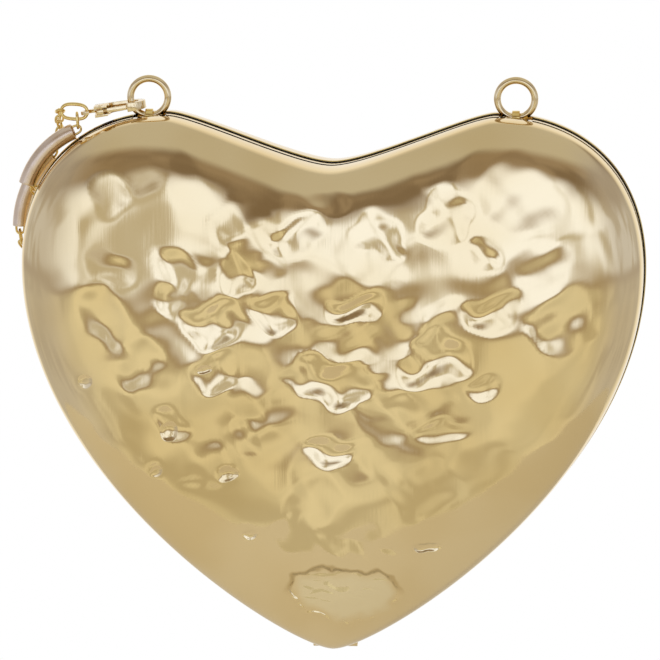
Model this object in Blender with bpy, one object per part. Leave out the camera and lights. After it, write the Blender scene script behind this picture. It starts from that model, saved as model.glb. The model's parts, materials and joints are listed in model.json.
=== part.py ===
"""Heart-shaped evening bag: two pressed metal half shells on rim frames, hinged at the tip, with two chain
rings on top and a tube-and-link wrist strap clipped to the left ring and hung over the left shoulder.

Metres, +Z up, the front faces -Y. The origin is the hanging point, midway between the tops of the two rings'
holes, in the plane of the seam."""

import math

import bmesh
import bpy
from mathutils import Matrix, Vector

# Heart outline at the seam: places are measured down from the top of the lobes
HALF_WIDTH = 0.0900
LOBE_TOP_X = 0.0473
VALLEY_DROP = 0.01424
SIDE_DROP = 0.0439
TIP_DROP = 0.1561
# Lengths of the outline's curve handles
VALLEY_HANDLE = 0.0104
LOBE_INNER_HANDLE = 0.0073
LOBE_OUTER_HANDLE = 0.0238
SIDE_UPPER_HANDLE = 0.0287
SIDE_LOWER_HANDLE = 0.0636
TIP_HANDLE = 0.0125
# Crown of both halves
CROWN_DROP = 0.0712
CROWN_ROUND_RADIUS = 0.0720
FRONT_DEPTH = 0.0260
BACK_DEPTH = 0.0220
FRONT_FLAT_SHARE = 0.0
BACK_FLAT_SHARE = 0.30
PUFF_SHARE = 2.5
WALL_SHARE = 4.0
ROUNDING_SHARE = 1.8
WALL = 0.0012
LINING = 0.0008
LINING_ROOM = 0.0042
FIT_GAP = 0.0004
# Rim frames
SEAM_GAP = 0.0003
LIP_THICK = 0.0007
LIP_PROUD = 0.0002
FLANGE_HEIGHT = 0.0040
FLANGE_THICK = 0.0010
# Chain rings and the staples that hold them
RING_X = 0.0530
RING_RADIUS = 0.0054
RING_WIRE = 0.0009
RING_SINK = 0.0008
STAPLE_WIDTH = 0.0022
STAPLE_THICK = 0.0007
STAPLE_GAP = 0.0004
NOTCH_HALF = 0.0046
NOTCH_DEPTH = 0.0046
NOTCH_REACH = 0.0034
SEAT_THICK = 0.0008
SEAT_FRONT = 0.0026
# Hinge inside the tip
HINGE_RISE = 0.0012
KNUCKLE_RADIUS = 0.0018
KNUCKLE_LENGTH = 0.0040
KNUCKLE_GAP = 0.0004
PIN_RADIUS = 0.0008
PIN_CLEARANCE = 0.0003
LEAF_RISE = 0.0053
LEAF_REACH = 0.0080
LEAF_THICK = 0.0008
RELIEF_HALF = 0.0078
RELIEF_REACH = 0.0030
# Magnetic catch below the valley
MAGNET_RADIUS = 0.0040
MAGNET_THICK = 0.0020
MAGNET_DROP = 0.0095
MAGNET_AIR_GAP = 0.0006
BRACKET_THICK = 0.0008
# Lobster clasp, whose long axis leaves the ring to the left and a little down
CLASP_TILT = math.radians(8.6)
HOOK_BEARING = math.radians(207)
HOOK_INNER = 0.0019
HOOK_OUTER = 0.0038
HOOK_THICK = 0.0022
BODY_THICK = 0.0034
EYE_THICK = 0.0010
SLOT_LENGTH = 0.0050
BODY_START = 0.0068
EYE_AT = 0.0130
EYE_OFFSET = 0.0012
EYE_OUTER = 0.0021
EYE_HOLE = 0.0012
GATE_THICK = 0.0012
GATE_WIDTH = 0.0018
GATE_START = 0.0016
GATE_PIVOT_AT = 0.0090
GATE_PIVOT_OFFSET = 0.0025
GATE_GAP = 0.0003
THUMB_REACH = 0.0022
RIVET_RADIUS = 0.0004
# Strap tubes: radius, bore, how far the middle bows out, and the bar across each mouth
TUBE_RADIUS = 0.00225
TUBE_BORE = 0.00185
TUBE_BOW = 0.0023
BAR_RADIUS = 0.0004
BAR_INSET = 0.0012
# Strap links
LINK_WIRE = 0.0004
LINK_LENGTH = 0.0056
LINK_WIDTH = 0.0032
LINK_PITCH = 0.0033
LINK_GAP = 0.0003
OVAL_WIRE = 0.0006
OVAL_LENGTH = 0.0092
OVAL_WIDTH = 0.0056
OVAL_HOOK = 0.0010
# Places on the strap: left of centre, behind the seam, and below the top of the lobes
TUBE_A_TOP = (-0.0750, -0.0013, 0.0053)
TUBE_A_END = (-0.0888, -0.0013, 0.0208)
TUBE_B_TOP = (-0.0833, 0.0155, 0.0149)
TUBE_B_END = (-0.0926, 0.0155, 0.0358)
TUBE_C_TOP = (-0.0905, 0.0205, 0.0475)
TUBE_C_END = (-0.0815, 0.0205, 0.0680)
TUBE_D_TOP = (-0.0680, 0.0250, 0.0660)
TUBE_D_END = (-0.0765, 0.0250, 0.0445)
OVAL_FAR = (-0.0785, -0.0014, -0.0006)
STRAP_OPEN_END = (-0.0895, 0.0065, 0.0215)
# Directions at the oval's far link and at the strap's open end, and the numbers of links
OVAL_WAY = (-0.25, 0.95, -0.20)
OPEN_WAY = (-0.30, -0.90, 0.25)
LINKS_B = 8
LINKS_C = 5
LINKS_D = 7
LINKS_E = 10
# Mesh counts
ROUND = 72
FRONT_STEPS = 9
BACK_STEPS = 5
LINING_STEPS = 4
RIM_TURN = math.radians(3)
RING_SIDES = 8
RING_POINTS = 28
LINK_SIDES = 6
LINK_BENDS = 4
TUBE_SIDES = 12
TUBE_STEPS = 6
OVERRUN = 0.0010

RING_AXIS_Z = -(2 * RING_RADIUS - RING_WIRE)
LOBE_TOP_Z = RING_AXIS_Z + RING_SINK
TIP_Z = LOBE_TOP_Z - TIP_DROP
CROWN = Vector((0, LOBE_TOP_Z - CROWN_DROP))

# Hammered dents: centre across and down, length, width, turn in degrees, depth, as shares of the half width
# (across, length and width), of the tip's drop (down) and of the front's depth
FRONT_DENT_SHARES = (
    (-0.74, 0.20, 0.17, 0.11, 60, 0.050),
    (-0.46, 0.33, 0.26, 0.15, 115, 0.055),
    (-0.74, 0.42, 0.30, 0.15, 125, 0.050),
    (-0.34, 0.42, 0.24, 0.18, 0, 0.060),
    (0.00, 0.17, 0.16, 0.10, 0, 0.030),
    (0.36, 0.21, 0.20, 0.20, 0, 0.060),
    (0.64, 0.17, 0.34, 0.20, 20, 0.060),
    (0.52, 0.39, 0.22, 0.16, 160, 0.055),
    (0.76, 0.40, 0.28, 0.18, 35, 0.060),
    (0.32, 0.49, 0.28, 0.16, 15, 0.055),
    (0.02, 0.53, 0.34, 0.14, 165, 0.050),
    (-0.40, 0.50, 0.22, 0.14, 150, 0.040),
    (-0.55, 0.60, 0.16, 0.11, 120, 0.035),
    (0.02, 0.64, 0.20, 0.10, 0, 0.035),
    (0.32, 0.60, 0.24, 0.09, 10, 0.030),
    (0.00, 0.86, 0.30, 0.12, 12, 0.030),
    (0.10, 0.37, 0.24, 0.12, 0, 0.035),
)
BACK_DENT_SHARES = (
    (-0.66, 0.24, 0.26, 0.18, 40, 0.045),
    (0.62, 0.22, 0.24, 0.20, 120, 0.045),
    (-0.72, 0.44, 0.24, 0.18, 100, 0.040),
    (0.74, 0.42, 0.28, 0.18, 70, 0.045),
    (-0.44, 0.66, 0.24, 0.14, 130, 0.040),
    (0.42, 0.68, 0.24, 0.16, 50, 0.040),
    (0.04, 0.80, 0.22, 0.14, 0, 0.035),
)


def clear_scene():
    for thing in list(bpy.data.objects):
        bpy.data.objects.remove(thing)


def material(name, colour, roughness, metallic):
    made = bpy.data.materials.new(name)
    made.use_nodes = True
    shader = made.node_tree.nodes["Principled BSDF"]
    shader.inputs["Base Color"].default_value = (*colour, 1)
    shader.inputs["Roughness"].default_value = roughness
    shader.inputs["Metallic"].default_value = metallic
    return made


def gold(name):
    return material(name, (0.80, 0.62, 0.33), 0.08, 1.0)


def satin_gold(name):
    return material(name, (0.78, 0.60, 0.42), 0.28, 1.0)


def bright_gold(name):
    return material(name, (0.86, 0.62, 0.24), 0.12, 1.0)


def steel(name):
    return material(name, (0.62, 0.62, 0.62), 0.30, 1.0)


def cloth(name):
    return material(name, (0.10, 0.08, 0.07), 0.90, 0.0)


# Mesh helpers
def skin(mesh, loops, cyclic=False, fans=()):
    """Skins a run of equal loops, and closes its ends with a face, or with a fan to each point given."""
    rows = [[mesh.verts.new(point) for point in loop] for loop in loops]
    pairs = list(zip(rows, rows[1:]))
    if cyclic:
        pairs.append((rows[-1], rows[0]))
    for near, far in pairs:
        for index in range(len(near)):
            after = (index + 1) % len(near)
            mesh.faces.new((near[index], near[after], far[after], far[index]))
    if cyclic:
        return
    for row, fan in zip((rows[0], rows[-1]), fans or (None, None)):
        if fan is None:
            mesh.faces.new(row)
            continue
        tip = mesh.verts.new(fan)
        for index in range(len(row)):
            mesh.faces.new((row[index], row[(index + 1) % len(row)], tip))


def finish(name, mesh, finish_material, smooth=True):
    """Makes the object, with its faces turned outwards."""
    bmesh.ops.recalc_face_normals(mesh, faces=mesh.faces)
    data = bpy.data.meshes.new(name)
    mesh.to_mesh(data)
    mesh.free()
    if smooth:
        data.shade_smooth()
        data.set_sharp_from_angle(angle=math.radians(35))
    data.materials.append(finish_material)
    made = bpy.data.objects.new(name, data)
    bpy.context.collection.objects.link(made)
    return made


def block(mesh, low, high):
    """Adds a box between two corners."""
    centre = (Vector(low) + Vector(high)) / 2
    size = Vector(high) - Vector(low)
    place = Matrix.Translation(centre) @ Matrix.Diagonal((*size, 1))
    bmesh.ops.create_cube(mesh, size=1, matrix=place)


def circle(centre, across, up, radius, sides):
    """Points round a centre, in the plane of two unit vectors."""
    turns = [2 * math.pi * step / sides for step in range(sides)]
    return [centre + radius * (math.cos(turn) * across + math.sin(turn) * up) for turn in turns]


def rod(mesh, start, end, radius, sides=12):
    """Adds a round bar between two points."""
    along = (end - start).normalized()
    across = along.orthogonal().normalized()
    up = along.cross(across)
    skin(mesh, [circle(start, across, up, radius, sides), circle(end, across, up, radius, sides)])


def hide_cutter(cutter):
    cutter.hide_render = True
    cutter.display_type = "WIRE"
    cutter.hide_set(True)


def combine(target, other, operation):
    """Cuts or joins with a hidden body, by an exact Boolean."""
    hide_cutter(other)
    step = target.modifiers.new(other.name, "BOOLEAN")
    step.operation = operation
    step.object = other
    step.solver = "EXACT"


# The heart
def bezier(start, start_handle, end_handle, end, steps):
    points = []
    for step in range(steps):
        t = step / steps
        u = 1 - t
        points.append(
            u * u * u * start + 3 * u * u * t * start_handle + 3 * u * t * t * end_handle + t * t * t * end
        )
    return points


def half_heart():
    """The right half outline, evenly spaced from the valley to the tip."""
    valley = Vector((0, LOBE_TOP_Z - VALLEY_DROP))
    lobe = Vector((LOBE_TOP_X, LOBE_TOP_Z))
    side = Vector((HALF_WIDTH, LOBE_TOP_Z - SIDE_DROP))
    tip = Vector((0, TIP_Z))
    across = Vector((1, 0))
    up = Vector((0, 1))
    fine = bezier(valley, valley + VALLEY_HANDLE * across, lobe - LOBE_INNER_HANDLE * across, lobe, 60)
    fine += bezier(lobe, lobe + LOBE_OUTER_HANDLE * across, side + SIDE_UPPER_HANDLE * up, side, 60)
    fine += bezier(side, side - SIDE_LOWER_HANDLE * up, tip + TIP_HANDLE * across, tip, 90)
    fine.append(tip)
    lengths = [0.0]
    for near, far in zip(fine, fine[1:]):
        lengths.append(lengths[-1] + (far - near).length)
    points = []
    index = 0
    for step in range(ROUND // 2 + 1):
        wanted = lengths[-1] * step / (ROUND // 2)
        while index < len(fine) - 2 and lengths[index + 1] < wanted:
            index += 1
        share = (wanted - lengths[index]) / (lengths[index + 1] - lengths[index])
        points.append(fine[index].lerp(fine[index + 1], share))
    return points


def heart():
    """The whole outline, from the valley over the right lobe to the tip and back up the left side."""
    right = half_heart()
    left = [Vector((-point.x, point.y)) for point in reversed(right[1:-1])]
    return right + left


OUTLINE = heart()


def inset_outline(inset):
    """The outline moved inwards, square to itself."""
    moved = []
    for index, point in enumerate(OUTLINE):
        run = OUTLINE[(index + 1) % ROUND] - OUTLINE[index - 1]
        inwards = Vector((run.y, -run.x)).normalized()
        moved.append(point + inset * inwards)
    return moved


def dent_depth(place, dents, full_depth):
    """How far the hammered dents push the wall in at a place on the heart."""
    total = 0.0
    for across, down, length, width, turn, depth in dents:
        centre = Vector((across * HALF_WIDTH, LOBE_TOP_Z - down * TIP_DROP))
        offset = place - centre
        angle = math.radians(turn)
        along = offset.x * math.cos(angle) + offset.y * math.sin(angle)
        aside = offset.y * math.cos(angle) - offset.x * math.sin(angle)
        reach = (along / (length * HALF_WIDTH)) ** 2 + (aside / (width * HALF_WIDTH)) ** 2
        total += depth * full_depth * math.exp(-reach * reach)
    return total


class Half:
    """One half of the case: which way it bulges, how deep it is, and its dents."""

    def __init__(self, name, way, depth, steps, flat_share, dents):
        self.name = name
        self.way = way
        self.depth = depth
        self.steps = steps
        self.flat_share = flat_share
        self.dents = dents

    def loops(self, inset, rim_depth, crown_inset):
        """Loops from the rim to the crown of a skin that lies a given distance inside the outer one."""
        crown_depth = self.depth - crown_inset
        rim = inset_outline(inset)
        loops = []
        turns = [(math.pi / 2) * step / (self.steps + 1) for step in range(self.steps + 1)]
        turns.insert(1, RIM_TURN)
        for turn in turns:
            share = math.cos(turn) ** (2 / PUFF_SHARE)
            height = math.sin(turn) ** (2 / WALL_SHARE)
            share = self.flat_share + (1 - self.flat_share) * share
            blend = share**ROUNDING_SHARE
            loop = []
            for outer, edge in zip(OUTLINE, rim):
                ray = edge - CROWN
                reach = blend * ray.length + (1 - blend) * (CROWN_ROUND_RADIUS - inset)
                place = CROWN + share * reach * ray.normalized()
                whole = CROWN + share * (blend * (outer - CROWN).length + (1 - blend) * CROWN_ROUND_RADIUS) * (
                    outer - CROWN
                ).normalized()
                press = dent_depth(whole, self.dents, self.depth) * min(1, height**2)
                depth = rim_depth + (crown_depth - rim_depth) * height - press
                loop.append(Vector((place.x, self.way * depth, place.y)))
            loops.append(loop)
        return loops

    def cup(self, mesh, inset, rim_depth, crown_inset, thick):
        """A closed cup wall: outer skin, rim and inner skin."""
        outer = self.loops(inset, rim_depth, crown_inset)
        inner = self.loops(inset + thick, rim_depth, crown_inset + thick)
        if self.flat_share:
            self.flatten(outer, self.depth - crown_inset)
            self.flatten(inner, self.depth - crown_inset - thick)
        caps = []
        for loops, lost in ((outer, crown_inset), (inner, crown_inset + thick)):
            press = dent_depth(CROWN, self.dents, self.depth)
            depth = self.depth - lost - (0 if self.flat_share else press)
            caps.append(Vector((CROWN.x, self.way * depth, CROWN.y)))
        skin(mesh, list(reversed(outer)) + inner, fans=caps)

    def flatten(self, loops, depth):
        """Makes the crown's last loop one flat face."""
        for point in loops[-1]:
            point.y = self.way * depth


FRONT = Half("front", -1, FRONT_DEPTH, FRONT_STEPS, FRONT_FLAT_SHARE, FRONT_DENT_SHARES)
BACK = Half("back", 1, BACK_DEPTH, BACK_STEPS, BACK_FLAT_SHARE, BACK_DENT_SHARES)
LIP_INNER = SEAM_GAP / 2
LIP_OUTER = LIP_INNER + LIP_THICK
SHELL_RIM = LIP_OUTER + SEAM_GAP
FLANGE_INSET = WALL + FIT_GAP
LINING_INSET = FLANGE_INSET + FLANGE_THICK + FIT_GAP


def ring_notch(name, side):
    """The hollow in both rims round a ring and its staple."""
    mesh = bmesh.new()
    x = side * RING_X
    low = (x - NOTCH_HALF, -NOTCH_REACH, LOBE_TOP_Z - NOTCH_DEPTH)
    high = (x + NOTCH_HALF, NOTCH_REACH, LOBE_TOP_Z + OVERRUN)
    block(mesh, low, high)
    return finish(name, mesh, steel(name))


def make_shell(half, notches):
    mesh = bmesh.new()
    half.cup(mesh, 0, SHELL_RIM, 0, WALL)
    shell = finish(half.name + "_shell", mesh, gold(half.name + "_shell"))
    for notch in notches:
        combine(shell, notch, "DIFFERENCE")


def make_lining(half, cutters):
    mesh = bmesh.new()
    cup = Half(half.name, half.way, half.depth, LINING_STEPS, half.flat_share, ())
    cup.cup(mesh, LINING_INSET, SHELL_RIM, WALL + LINING_ROOM, LINING)
    lining = finish(half.name + "_lining", mesh, cloth(half.name + "_lining"))
    for cutter in cutters:
        combine(lining, cutter, "DIFFERENCE")


def make_frame(half, notches, extras):
    """An angle section bent round the heart: a lip at the seam and a flange inside the shell."""
    profile = (
        (-LIP_PROUD, LIP_INNER),
        (-LIP_PROUD, LIP_OUTER),
        (FLANGE_INSET, LIP_OUTER),
        (FLANGE_INSET, FLANGE_HEIGHT),
        (FLANGE_INSET + FLANGE_THICK, FLANGE_HEIGHT),
        (FLANGE_INSET + FLANGE_THICK, LIP_INNER),
    )
    mesh = bmesh.new()
    loops = []
    for inset, depth in profile:
        loops.append([Vector((p.x, half.way * depth, p.y)) for p in inset_outline(inset)])
    skin(mesh, loops, cyclic=True)
    frame = finish(half.name + "_frame", mesh, bright_gold(half.name + "_frame"))
    for notch in notches:
        combine(frame, notch, "DIFFERENCE")
    for extra in extras:
        combine(frame, extra, "DIFFERENCE")


# Ring mounts
def make_ring(name, side):
    """A closed wire ring standing in the plane of the seam."""
    centre = Vector((side * RING_X, 0, RING_AXIS_Z + RING_RADIUS))
    across = Vector((1, 0, 0))
    up = Vector((0, 0, 1))
    facing = Vector((0, 1, 0))
    loops = []
    for out in circle(Vector((0, 0, 0)), across, up, 1, RING_POINTS):
        loops.append(circle(centre + RING_RADIUS * out, out, facing, RING_WIRE, RING_SIDES))
    mesh = bmesh.new()
    skin(mesh, loops, cyclic=True)
    finish(name, mesh, gold(name))


def make_staple(name, side):
    """The arch that holds a ring down, on a seat in the rims' notch."""
    x = side * RING_X
    inner = RING_WIRE + STAPLE_GAP
    outer = inner + STAPLE_THICK
    seat_top = RING_AXIS_Z - inner
    path = [Vector((0, -1, (seat_top - SEAT_THICK / 2 - RING_AXIS_Z) / inner))]
    path += [Vector((0, -math.cos(math.pi * step / 10), math.sin(math.pi * step / 10))) for step in range(11)]
    path.append(Vector((0, 1, (seat_top - SEAT_THICK / 2 - RING_AXIS_Z) / inner)))
    foot = path[0].z * inner
    centre = Vector((x, 0, RING_AXIS_Z))
    half = Vector((STAPLE_WIDTH / 2, 0, 0))
    loops = []
    for index, ray in enumerate(path):
        if index in (0, len(path) - 1):
            near = centre + Vector((0, ray.y * inner, foot))
            far = centre + Vector((0, ray.y * outer, foot))
        else:
            near = centre + inner * ray
            far = centre + outer * ray
        loops.append([near - half, near + half, far + half, far - half])
    mesh = bmesh.new()
    skin(mesh, loops)
    staple = finish(name, mesh, bright_gold(name))
    seat = bmesh.new()
    reach = NOTCH_HALF - SEAM_GAP
    low = (x - reach, -SEAT_FRONT, seat_top - SEAT_THICK)
    high = (x + reach, NOTCH_REACH - SEAM_GAP, seat_top)
    block(seat, low, high)
    combine(staple, finish(name + "_seat", seat, bright_gold(name + "_seat")), "UNION")


# Hinge at the tip
HINGE_Z = TIP_Z + HINGE_RISE
LEAF_Z = TIP_Z + LEAF_RISE


def hinge_relief(name, reach):
    mesh = bmesh.new()
    low = (-RELIEF_HALF, -reach, TIP_Z - OVERRUN)
    high = (RELIEF_HALF, reach, LEAF_Z + LEAF_THICK + FIT_GAP)
    block(mesh, low, high)
    return finish(name, mesh, steel(name))


def make_hinge_leaf(name, way, knuckles):
    """A leaf with its knuckles: the plate lies across the frame, and ears run down to the pin."""
    mesh = bmesh.new()
    wide = 1.5 * KNUCKLE_LENGTH + KNUCKLE_GAP
    ear_near = way * KNUCKLE_GAP
    ear_far = way * (KNUCKLE_GAP + LEAF_THICK)
    plate_far = way * LEAF_REACH
    block(
        mesh,
        (-wide, min(ear_near, plate_far), LEAF_Z),
        (wide, max(ear_near, plate_far), LEAF_Z + LEAF_THICK),
    )
    leaf = finish(name, mesh, steel(name))
    for index, x in enumerate(knuckles):
        half = KNUCKLE_LENGTH / 2
        ear = bmesh.new()
        block(
            ear,
            (x - half, min(ear_near, ear_far), HINGE_Z),
            (x + half, max(ear_near, ear_far), LEAF_Z + LEAF_THICK / 2),
        )
        combine(leaf, finish(f"{name}_ear_{index}", ear, steel(name)), "UNION")
        barrel = bmesh.new()
        rod(barrel, Vector((x - half, 0, HINGE_Z)), Vector((x + half, 0, HINGE_Z)), KNUCKLE_RADIUS, 16)
        combine(leaf, finish(f"{name}_barrel_{index}", barrel, steel(name)), "UNION")
    bore = bmesh.new()
    reach = wide + OVERRUN
    rod(bore, Vector((-reach, 0, HINGE_Z)), Vector((reach, 0, HINGE_Z)), PIN_RADIUS + PIN_CLEARANCE, 16)
    combine(leaf, finish(name + "_bore", bore, steel(name)), "DIFFERENCE")


def make_hinge_pin():
    mesh = bmesh.new()
    wide = 1.5 * KNUCKLE_LENGTH + KNUCKLE_GAP
    rod(mesh, Vector((-wide, 0, HINGE_Z)), Vector((wide, 0, HINGE_Z)), PIN_RADIUS, 12)
    finish("hinge_pin", mesh, steel("hinge_pin"))


# Catch
VALLEY_Z = LOBE_TOP_Z - VALLEY_DROP
MAGNET_Z = VALLEY_Z - MAGNET_DROP


def bracket_slot():
    """Clearance for the catch's brackets through the linings."""
    mesh = bmesh.new()
    half = MAGNET_RADIUS + FIT_GAP
    reach = MAGNET_AIR_GAP / 2 + MAGNET_THICK + SEAM_GAP + BRACKET_THICK + FIT_GAP
    block(mesh, (-half, -reach, MAGNET_Z), (half, reach, VALLEY_Z))
    return finish("bracket_slot", mesh, steel("bracket_slot"))


def make_catch(way, disc_name, bracket_name):
    """A disc near the seam, and the bracket behind it that hangs from the frame's flange."""
    near = MAGNET_AIR_GAP / 2
    far = near + MAGNET_THICK
    mesh = bmesh.new()
    rod(mesh, Vector((0, way * near, MAGNET_Z)), Vector((0, way * far, MAGNET_Z)), MAGNET_RADIUS, 24)
    finish(disc_name, mesh, steel(disc_name))
    mesh = bmesh.new()
    back = far + SEAM_GAP
    ends = sorted((way * back, way * (back + BRACKET_THICK)))
    top = VALLEY_Z - FLANGE_INSET - FLANGE_THICK - SEAM_GAP
    block(mesh, (-MAGNET_RADIUS, ends[0], MAGNET_Z - MAGNET_RADIUS), (MAGNET_RADIUS, ends[1], top))
    finish(bracket_name, mesh, bright_gold(bracket_name))


# Clasp
HOOK_CENTRE = Vector((-RING_X, 0, RING_AXIS_Z + RING_RADIUS)) + RING_RADIUS * Vector(
    (math.cos(HOOK_BEARING), 0, math.sin(HOOK_BEARING))
)
CLASP_ALONG = Vector((-math.cos(CLASP_TILT), 0, -math.sin(CLASP_TILT)))
CLASP_ASIDE = Vector((0, 1, 0))
CLASP_UP = CLASP_ALONG.cross(CLASP_ASIDE)


def on_clasp(along, aside, up=0.0):
    """A place on the clasp: from the hook's centre to the eye, to the back, and across its thickness."""
    return HOOK_CENTRE + along * CLASP_ALONG + aside * CLASP_ASIDE + up * CLASP_UP


def half_thick(along):
    share = (along + HOOK_OUTER) / (EYE_AT + HOOK_OUTER)
    return (HOOK_THICK + share * (BODY_THICK - HOOK_THICK)) / 2


def clasp_outline():
    """The clasp seen from above: the hook's round end, the straight body and the eye's round end."""
    points = []
    for step in range(13):
        turn = math.radians(80 + 200 * step / 12)
        points.append((HOOK_OUTER * math.cos(turn), HOOK_OUTER * math.sin(turn)))
    points.append((BODY_START, -HOOK_OUTER))
    points.append((BODY_START + HOOK_INNER, -HOOK_OUTER))
    for step in range(9):
        turn = math.radians(-80 + 160 * step / 8)
        points.append((EYE_AT + EYE_OUTER * math.cos(turn), -EYE_OFFSET + EYE_OUTER * math.sin(turn)))
    points.append((BODY_START + HOOK_INNER, HOOK_INNER))
    return points


def clasp_prism(name, points, low=None, high=None):
    """An outline on the clasp's plan, as thick as the clasp there or between two levels."""
    mesh = bmesh.new()
    floor = [on_clasp(a, b, -half_thick(a) if low is None else low) for a, b in points]
    roof = [on_clasp(a, b, half_thick(a) if high is None else high) for a, b in points]
    skin(mesh, [floor, roof])
    return finish(name, mesh, gold(name))


def plan_box(along_low, along_high, aside_low, aside_high):
    return [
        (along_low, aside_low),
        (along_high, aside_low),
        (along_high, aside_high),
        (along_low, aside_high),
    ]


def plan_circle(along, aside, radius, sides=16):
    turns = [2 * math.pi * step / sides for step in range(sides)]
    return [(along + radius * math.cos(turn), aside + radius * math.sin(turn)) for turn in turns]


def slot_outline():
    points = []
    for step in range(9):
        turn = math.radians(90 + 180 * step / 8)
        points.append((HOOK_INNER * math.cos(turn), HOOK_INNER * math.sin(turn)))
    for step in range(9):
        turn = math.radians(-90 + 180 * step / 8)
        points.append((SLOT_LENGTH + HOOK_INNER * math.cos(turn), HOOK_INNER * math.sin(turn)))
    return points


def make_clasp():
    body = clasp_prism("clasp_body", clasp_outline())
    deep = BODY_THICK
    wide = 2 * HOOK_OUTER
    gate_end = BODY_START + GATE_GAP
    slit = GATE_THICK / 2 + GATE_GAP
    eye_room = plan_box(EYE_AT - EYE_OUTER, EYE_AT + 2 * EYE_OUTER, -wide, wide)
    cutters = (
        clasp_prism("clasp_slot", slot_outline(), -deep, deep),
        clasp_prism(
            "clasp_mouth",
            plan_box(GATE_START - GATE_GAP, gate_end, -wide, -HOOK_INNER / 2),
            -deep,
            deep,
        ),
        clasp_prism(
            "clasp_slit",
            plan_box(BODY_START - GATE_GAP, GATE_PIVOT_AT + 2 * GATE_WIDTH, -wide, -GATE_GAP),
            -slit,
            slit,
        ),
        clasp_prism("clasp_eye", plan_circle(EYE_AT, -EYE_OFFSET, EYE_HOLE), -deep, deep),
        clasp_prism("eye_top", eye_room, EYE_THICK / 2, deep),
        clasp_prism("eye_floor", eye_room, -deep, -EYE_THICK / 2),
        clasp_prism(
            "clasp_rivet_hole",
            plan_circle(GATE_PIVOT_AT, -GATE_PIVOT_OFFSET, RIVET_RADIUS + GATE_GAP),
            -deep,
            deep,
        ),
    )
    for cutter in cutters:
        combine(body, cutter, "DIFFERENCE")
    inner = -GATE_PIVOT_OFFSET + GATE_WIDTH / 2
    outer = -GATE_PIVOT_OFFSET - GATE_WIDTH / 2
    lug = GATE_PIVOT_AT + GATE_WIDTH
    outline = [
        (GATE_START, outer),
        (GATE_PIVOT_AT - GATE_WIDTH, outer),
        (GATE_PIVOT_AT - GATE_WIDTH / 2, outer - THUMB_REACH),
        (GATE_PIVOT_AT + GATE_WIDTH / 2, outer - THUMB_REACH),
        (lug, outer),
        (lug, inner),
        (GATE_START, inner),
    ]
    gate = clasp_prism("clasp_gate", outline, -GATE_THICK / 2, GATE_THICK / 2)
    hole = plan_circle(GATE_PIVOT_AT, -GATE_PIVOT_OFFSET, RIVET_RADIUS + GATE_GAP / 2, 12)
    combine(gate, clasp_prism("gate_hole", hole, -deep, deep), "DIFFERENCE")
    mesh = bmesh.new()
    reach = half_thick(GATE_PIVOT_AT)
    ends = [on_clasp(GATE_PIVOT_AT, -GATE_PIVOT_OFFSET, up) for up in (-reach, reach)]
    rod(mesh, ends[0], ends[1], RIVET_RADIUS, 12)
    finish("clasp_rivet", mesh, gold("clasp_rivet"))


# Strap
def strap_place(place):
    """A place on the strap, given left of centre, behind the seam and below the top of the lobes."""
    return Vector((place[0], place[1], LOBE_TOP_Z - place[2]))


class Tube:
    """A bowed tube between two mouths, with a bar across each mouth for a link."""

    def __init__(self, name, top, end):
        self.name = name
        self.top = strap_place(top)
        self.end = strap_place(end)
        chord = self.end - self.top
        self.facing = Vector((0, 1, 0))
        self.out = self.facing.cross(chord).normalized()
        half = chord.length / 2
        self.bend = (half * half + TUBE_BOW * TUBE_BOW) / (2 * TUBE_BOW)
        self.centre = (self.top + self.end) / 2 - (self.bend - TUBE_BOW) * self.out
        self.reach = math.asin(half / self.bend)
        self.along = chord.normalized()

    def station(self, share):
        """Centre, outward direction and direction of travel, at a share of the arc from top to end."""
        turn = self.reach * (2 * share - 1)
        out = math.cos(turn) * self.out + math.sin(turn) * self.along
        travel = math.cos(turn) * self.along - math.sin(turn) * self.out
        return self.centre + self.bend * out, out, travel

    def bar(self, at_top):
        """The middle of the bar across one mouth."""
        share = BAR_INSET / (2 * self.bend * self.reach)
        return self.station(share if at_top else 1 - share)

    def make(self):
        mesh = bmesh.new()
        outer = []
        inner = []
        for step in range(TUBE_STEPS + 1):
            centre, out, _ = self.station(step / TUBE_STEPS)
            outer.append(circle(centre, out, self.facing, TUBE_RADIUS, TUBE_SIDES))
            inner.append(circle(centre, out, self.facing, TUBE_BORE, TUBE_SIDES))
        skin(mesh, outer + list(reversed(inner)), cyclic=True)
        tube = finish(self.name, mesh, satin_gold(self.name))
        reach = (TUBE_RADIUS + TUBE_BORE) / 2
        for at_top in (True, False):
            centre, _, _ = self.bar(at_top)
            bar = bmesh.new()
            rod(bar, centre - reach * self.facing, centre + reach * self.facing, BAR_RADIUS, 8)
            combine(tube, finish(f"{self.name}_bar_{int(at_top)}", bar, satin_gold(self.name)), "UNION")


def add_link(mesh, centre, along, aside, length, width, wire):
    """Adds one oval link: two round ends joined by straight sides."""
    normal = along.cross(aside)
    round_radius = width / 2 - wire
    straight = length / 2 - width / 2
    loops = []
    for way in (1, -1):
        for step in range(LINK_BENDS + 1):
            turn = math.pi * step / LINK_BENDS - math.pi / 2
            out = way * (math.cos(turn) * along + math.sin(turn) * aside)
            middle = centre + way * straight * along + round_radius * out
            loops.append(circle(middle, out, normal, wire, LINK_SIDES))
    skin(mesh, loops, cyclic=True)


class Hook:
    """Where a chain's last link goes round a wire, and the way the chain leaves it."""

    def __init__(self, place, way, wire, radius):
        self.place = place
        self.way = way.normalized()
        self.wire = wire
        self.grip = LINK_LENGTH / 2 - 2 * LINK_WIRE - radius - LINK_GAP

    def aside(self):
        """The direction across a link that goes round this wire."""
        return self.wire.cross(self.way).normalized()


class OpenEnd(Hook):
    """The free end of a chain."""

    def __init__(self, place, way):
        super().__init__(place, way, Vector((0, 0, 1)), 0)
        self.grip = LINK_LENGTH / 2


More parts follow.
